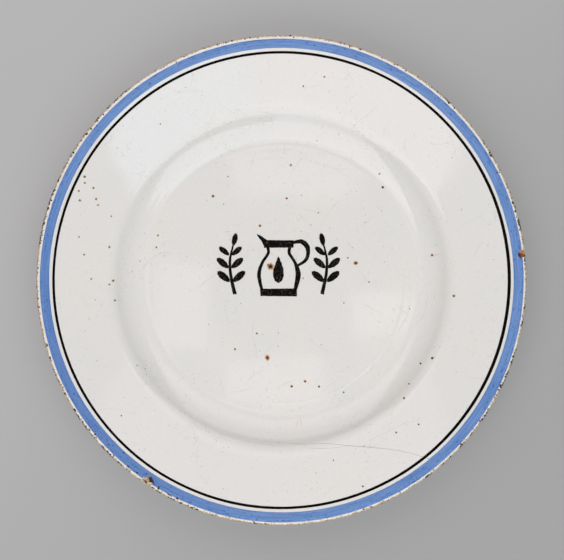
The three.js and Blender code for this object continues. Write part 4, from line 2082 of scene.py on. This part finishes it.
@dataclass
class Traces:
    """The hairline crack across the flange, with the scratches, dirt and stray hair that show beside it."""

    cracks: tuple[Trace, ...] = (
        Trace(
            ((12.3, -82.6), (22.6, -82.2), (33.9, -83.1), (47.4, -84.1), (59.7, -85.6), (71.4, -88.6), (79.0, -92.4)),
            (0.1, 0.2, 0.3, 0.26, 0.22, 0.2),
        ),
        Trace(((14.0, -84.6), (24.0, -84.4), (33.0, -83.4)), (0.08, 0.16, 0.1)),
        Trace(((12.6, -82.6), (6.8, -82.3), (-6.0, -81.4), (-18.0, -79.2), (-30.4, -75.9)), (0.16, 0.12, 0.08, 0.05)),
        Trace(((44.1, -80.4), (54.4, -75.6), (63.4, -70.8)), (0.05, 0.1, 0.05)),
    )
    dashes: tuple[tuple[float, float, float], ...] = (  # place along the rim, radius and length
        (-155.5, 121.9, 1.4), (-141.8, 121.6, 1.3), (-140.4, 120.7, 0.9), (-133.8, 121.2, 1.2),
        (-132.4, 116.9, 0.8), (-129.4, 120.4, 1.3), (-126.8, 120.2, 1.5), (-124.9, 118.0, 0.8),
        (-117.3, 121.2, 1.5), (-115.5, 120.7, 1.3), (-111.0, 121.9, 1.0), (-136.5, 119.3, 0.7),
    )
    dash_widths: tuple[float, ...] = (0.8, 1.3, 0.6)
    dirt: tuple[Trace, ...] = (
        Trace(
            ((-66.4, -98.6), (-65.2, -99.2), (-64.2, -100.5), (-63.8, -101.7), (-63.1, -102.6)),
            (0.4, 1.5, 1.3, 0.5),
            0.0,
        ),
        Trace(((-61.0, -103.0), (-61.6, -104.6)), (0.8, 1.3, 0.8), 0.0),
        Trace(((118.9, 13.7), (118.6, 12.5), (118.8, 11.4)), (0.3, 1.4, 0.3), 0.0),
    )
    hair: tuple[Trace, ...] = (
        Trace(((-57.0, 108.0), (-54.6, 109.5), (-52.9, 109.2), (-51.9, 107.9), (-51.2, 105.4)), (0.2, 0.5, 0.4), 0.0),
    )
    rust: tuple[Trace, ...] = (Trace(((73.9, 11.6), (77.5, 12.3), (81.0, 13.6)), (0.05, 0.35, 0.05)),)

    def dash(self, angle: float, radius: float, length: float) -> Trace:
        """Makes a black pit next to the lip, drawn out along the rim.

        Args:
            angle: Its place round the plate.
            radius: Its distance from the axis.
            length: Its length.

        Returns:
            The pit, as a short trace.
        """
        ends = (angle + side * math.degrees(length / 2 / radius) for side in (-1, 1))
        corners = tuple((radius * cosine(end), radius * sine(end)) for end in ends)
        return Trace(corners, self.dash_widths, 0.0)

    def build(self) -> None:
        """Makes one piece of the traces of each kind."""
        pits = tuple(self.dash(*place) for place in self.dashes)
        for name, finish, traces in (
            ("hairline_cracks", FlawGrain("dirt in a hairline crack", dark="#6F675C", light="#8C8477"), self.cracks),
            ("chip_dirt", FlawGrain("black dirt", dark="#0D0907", light="#2B1D16"), self.dirt + pits),
            ("stray_hair", FlawGrain("hair fired into the glaze", dark="#7A6A50", light="#8A795F"), self.hair),
            ("rusty_streak", FlawGrain("rusty streak", dark="#A98655", light="#C9B08A"), self.rust),
        ):
            lines = Shape()
            for trace in traces:
                lines.add(trace.shape())
            seat(lines.piece(name, finish.material()), Slot.WHITE.value)


@dataclass(frozen=True)
class SoftBox:
    """A soft lamp that hangs between two level rails, which run from left to right over the plate.

    Each rail is given by its place along the plate and its height. The nearer one comes first.
    """

    name: str
    left: float
    right: float
    rails: tuple[Point, Point]
    radiance: float
    colour: str = "#FFFFFF"

    def hang(self) -> None:
        """Hangs the lamp."""
        (near, near_height), (far, far_height) = self.rails
        light = bpy.data.lights.new(self.name, "AREA")
        light.shape = "RECTANGLE"
        light.size = (self.right - self.left) * MM
        light.size_y = math.hypot(far - near, far_height - near_height) * MM
        light.color = linear(self.colour)[:3]
        light.energy = self.radiance * math.pi * light.size * light.size_y
        lamp = stand(self.name, light)
        middle = (self.left + self.right) / 2, (near + far) / 2, (near_height + far_height) / 2
        lamp.location = Vector(middle) * MM
        lamp.rotation_euler = (math.atan2(far_height - near_height, far - near), 0, 0)
        lamp.visible_camera = False


@dataclass
class Studio:
    """Pale paper, soft light all round, and a camera straight over the plate."""

    camera_height: float = 1200.0
    view_width: float = 282.0  # what the photograph shows across, at the height of the rim
    photo_width: float = 564.0
    photo_height: float = 560.0
    plate_column: float = 281.4  # the plate's middle in the photograph, in pixels
    plate_row: float = 280.1
    sensor: float = 36.0
    paper_reach: float = 6000.0
    paper_height: float = -0.2
    room_light: float = 0.28
    room_tint: str = "#F5FEFF"
    ceiling: float = 1230.0  # the lamps' height
    gap: float = 139.0  # how far from the camera's axis each screen starts
    lean: float = 57.0

    def rail(self, side: int, down: float) -> Point:
        """Finds a rail of the two leaning screens.

        Args:
            side: 1 for the far screen and -1 for the near one.
            down: How far down the screen's slope the rail runs.

        Returns:
            Its place along the plate and its height.
        """
        return side * (self.gap + down * cosine(self.lean)), self.ceiling - down * sine(self.lean)

    def boxes(self) -> list[SoftBox]:
        """Lists the lamps: two leaning screens, small ones beside the camera and one under the table.

        Returns:
            The lamps.
        """
        near = [self.rail(-1, down) for down in (0, 170, 420, 1120)]
        far = [self.rail(1, down) for down in (0, 170, 700, 1150)]
        skirt, top = (-1200.0, 40.0), self.ceiling
        return [
            SoftBox("near_left_top", -450, 35, (near[1], near[0]), 1.36, "#FFF0F0"),
            SoftBox("near_left_middle", -530, 35, (near[2], near[1]), 1.8, "#FFF4F4"),
            SoftBox("near_left_low", -550, 35, (near[3], near[2]), 1.65, "#FFF4F4"),
            SoftBox("near_left_skirt", -600, 35, (skirt, near[3]), 0.9, "#FFF0F0"),
            SoftBox("near_right_top", 35, 280, (near[1], near[0]), 1.7, "#CCEDFF"),
            SoftBox("near_right_middle", 35, 470, (near[2], near[1]), 1.75, "#DDF2FF"),
            SoftBox("near_right_low", 35, 770, (near[3], near[2]), 1.4, "#F5FCFF"),
            SoftBox("far_top", -470, 480, (far[0], far[1]), 0.62, "#FFF2F2"),
            SoftBox("far_middle", -470, 540, (far[1], far[2]), 1.3, "#FFF2F2"),
            SoftBox("far_low", -500, 580, (far[2], far[3]), 1.05, "#FFF2F2"),
            SoftBox("well_far", -50, 76, ((84, top), (129, top)), 0.85, "#FFF2F2"),
            SoftBox("well_near", -60, 38, ((-124, top), (-79, top)), 1.0, "#FFEDE2"),
            SoftBox("well_left", -127, -73, ((-72, top), (18, top)), 0.95, "#FFEEEE"),
            SoftBox("well_right", 75, 127, ((-56, top), (-12, top)), 1.1),
            SoftBox("under_table", -400, 400, ((400, -350), (-400, -350)), 1.6),
        ]

    def build(self) -> None:
        """Lays the paper, hangs the lamps and sets up the camera."""
        self.lay_paper()
        self.light()
        self.aim_camera()

    def lay_paper(self) -> None:
        """Lays the paper that the plate stands on."""
        reach, height = self.paper_reach * MM, self.paper_height * MM
        corners = [(-reach, -reach, height), (reach, -reach, height), (reach, reach, height), (-reach, reach, height)]
        mesh = bpy.data.meshes.new("studio_paper")
        mesh.from_pydata(corners, [], [(0, 1, 2, 3)])
        mesh.materials.append(StudioPaper("background paper").material())
        stand("studio_paper", mesh)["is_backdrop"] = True

    def light(self) -> None:
        """Lights the room evenly and hangs the soft boxes."""
        world = bpy.data.worlds.new("soft_room")
        world.use_nodes = True
        room = next(node for node in world.node_tree.nodes if node.type == "BACKGROUND")
        room.inputs["Color"].default_value = linear(self.room_tint)
        room.inputs["Strength"].default_value = self.room_light
        bpy.context.scene.world = world
        for box in self.boxes():
            box.hang()

    def aim_camera(self) -> None:
        """Puts the camera over the plate, with the plate where the photograph has it."""
        lens = bpy.data.cameras.new("camera")
        lens.sensor_width = self.sensor
        lens.lens = self.sensor * (self.camera_height - FORM.lip_height) / self.view_width
        pixel = self.view_width / self.photo_width
        x = (self.photo_width / 2 - self.plate_column) * pixel
        y = (self.plate_row - self.photo_height / 2) * pixel
        camera = stand("camera", lens)
        camera.location = Vector((x, y, self.camera_height)) * MM
        bpy.context.scene.camera = camera


def write_sizes() -> None:
    """Turns the CAD model's box and the dressed plate's box into JSON text, which is not kept.
    """
    boxes = {"cad": CAD_BOX, "visual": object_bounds()}
    json.dumps({name: [list(corner) for corner in box] for name, box in boxes.items()})


def main() -> None:
    """Builds the plate in the order of its making, then the studio round it."""
    logging.basicConfig(level=logging.INFO, format="%(message)s")
    bpy.context.scene.view_settings.view_transform = "Standard"
    noise.seed_set(HAND_SEED)
    breaks = RimWear().breaks()
    body = ClayBody().build(breaks)
    coats = GlazeCoats().build(breaks)
    band = RimEnamels().build(breaks)
    for flake in breaks:
        bpy.data.objects.remove(flake)
    PaintedJug().build()
    IronSpots().build()
    KilnFlaws().build(coats, band, body)
    TableWear().build(coats[Side.FACE])
    Traces().build()
    Studio().build()
    write_sizes()


if __name__ == "__main__":
    main()
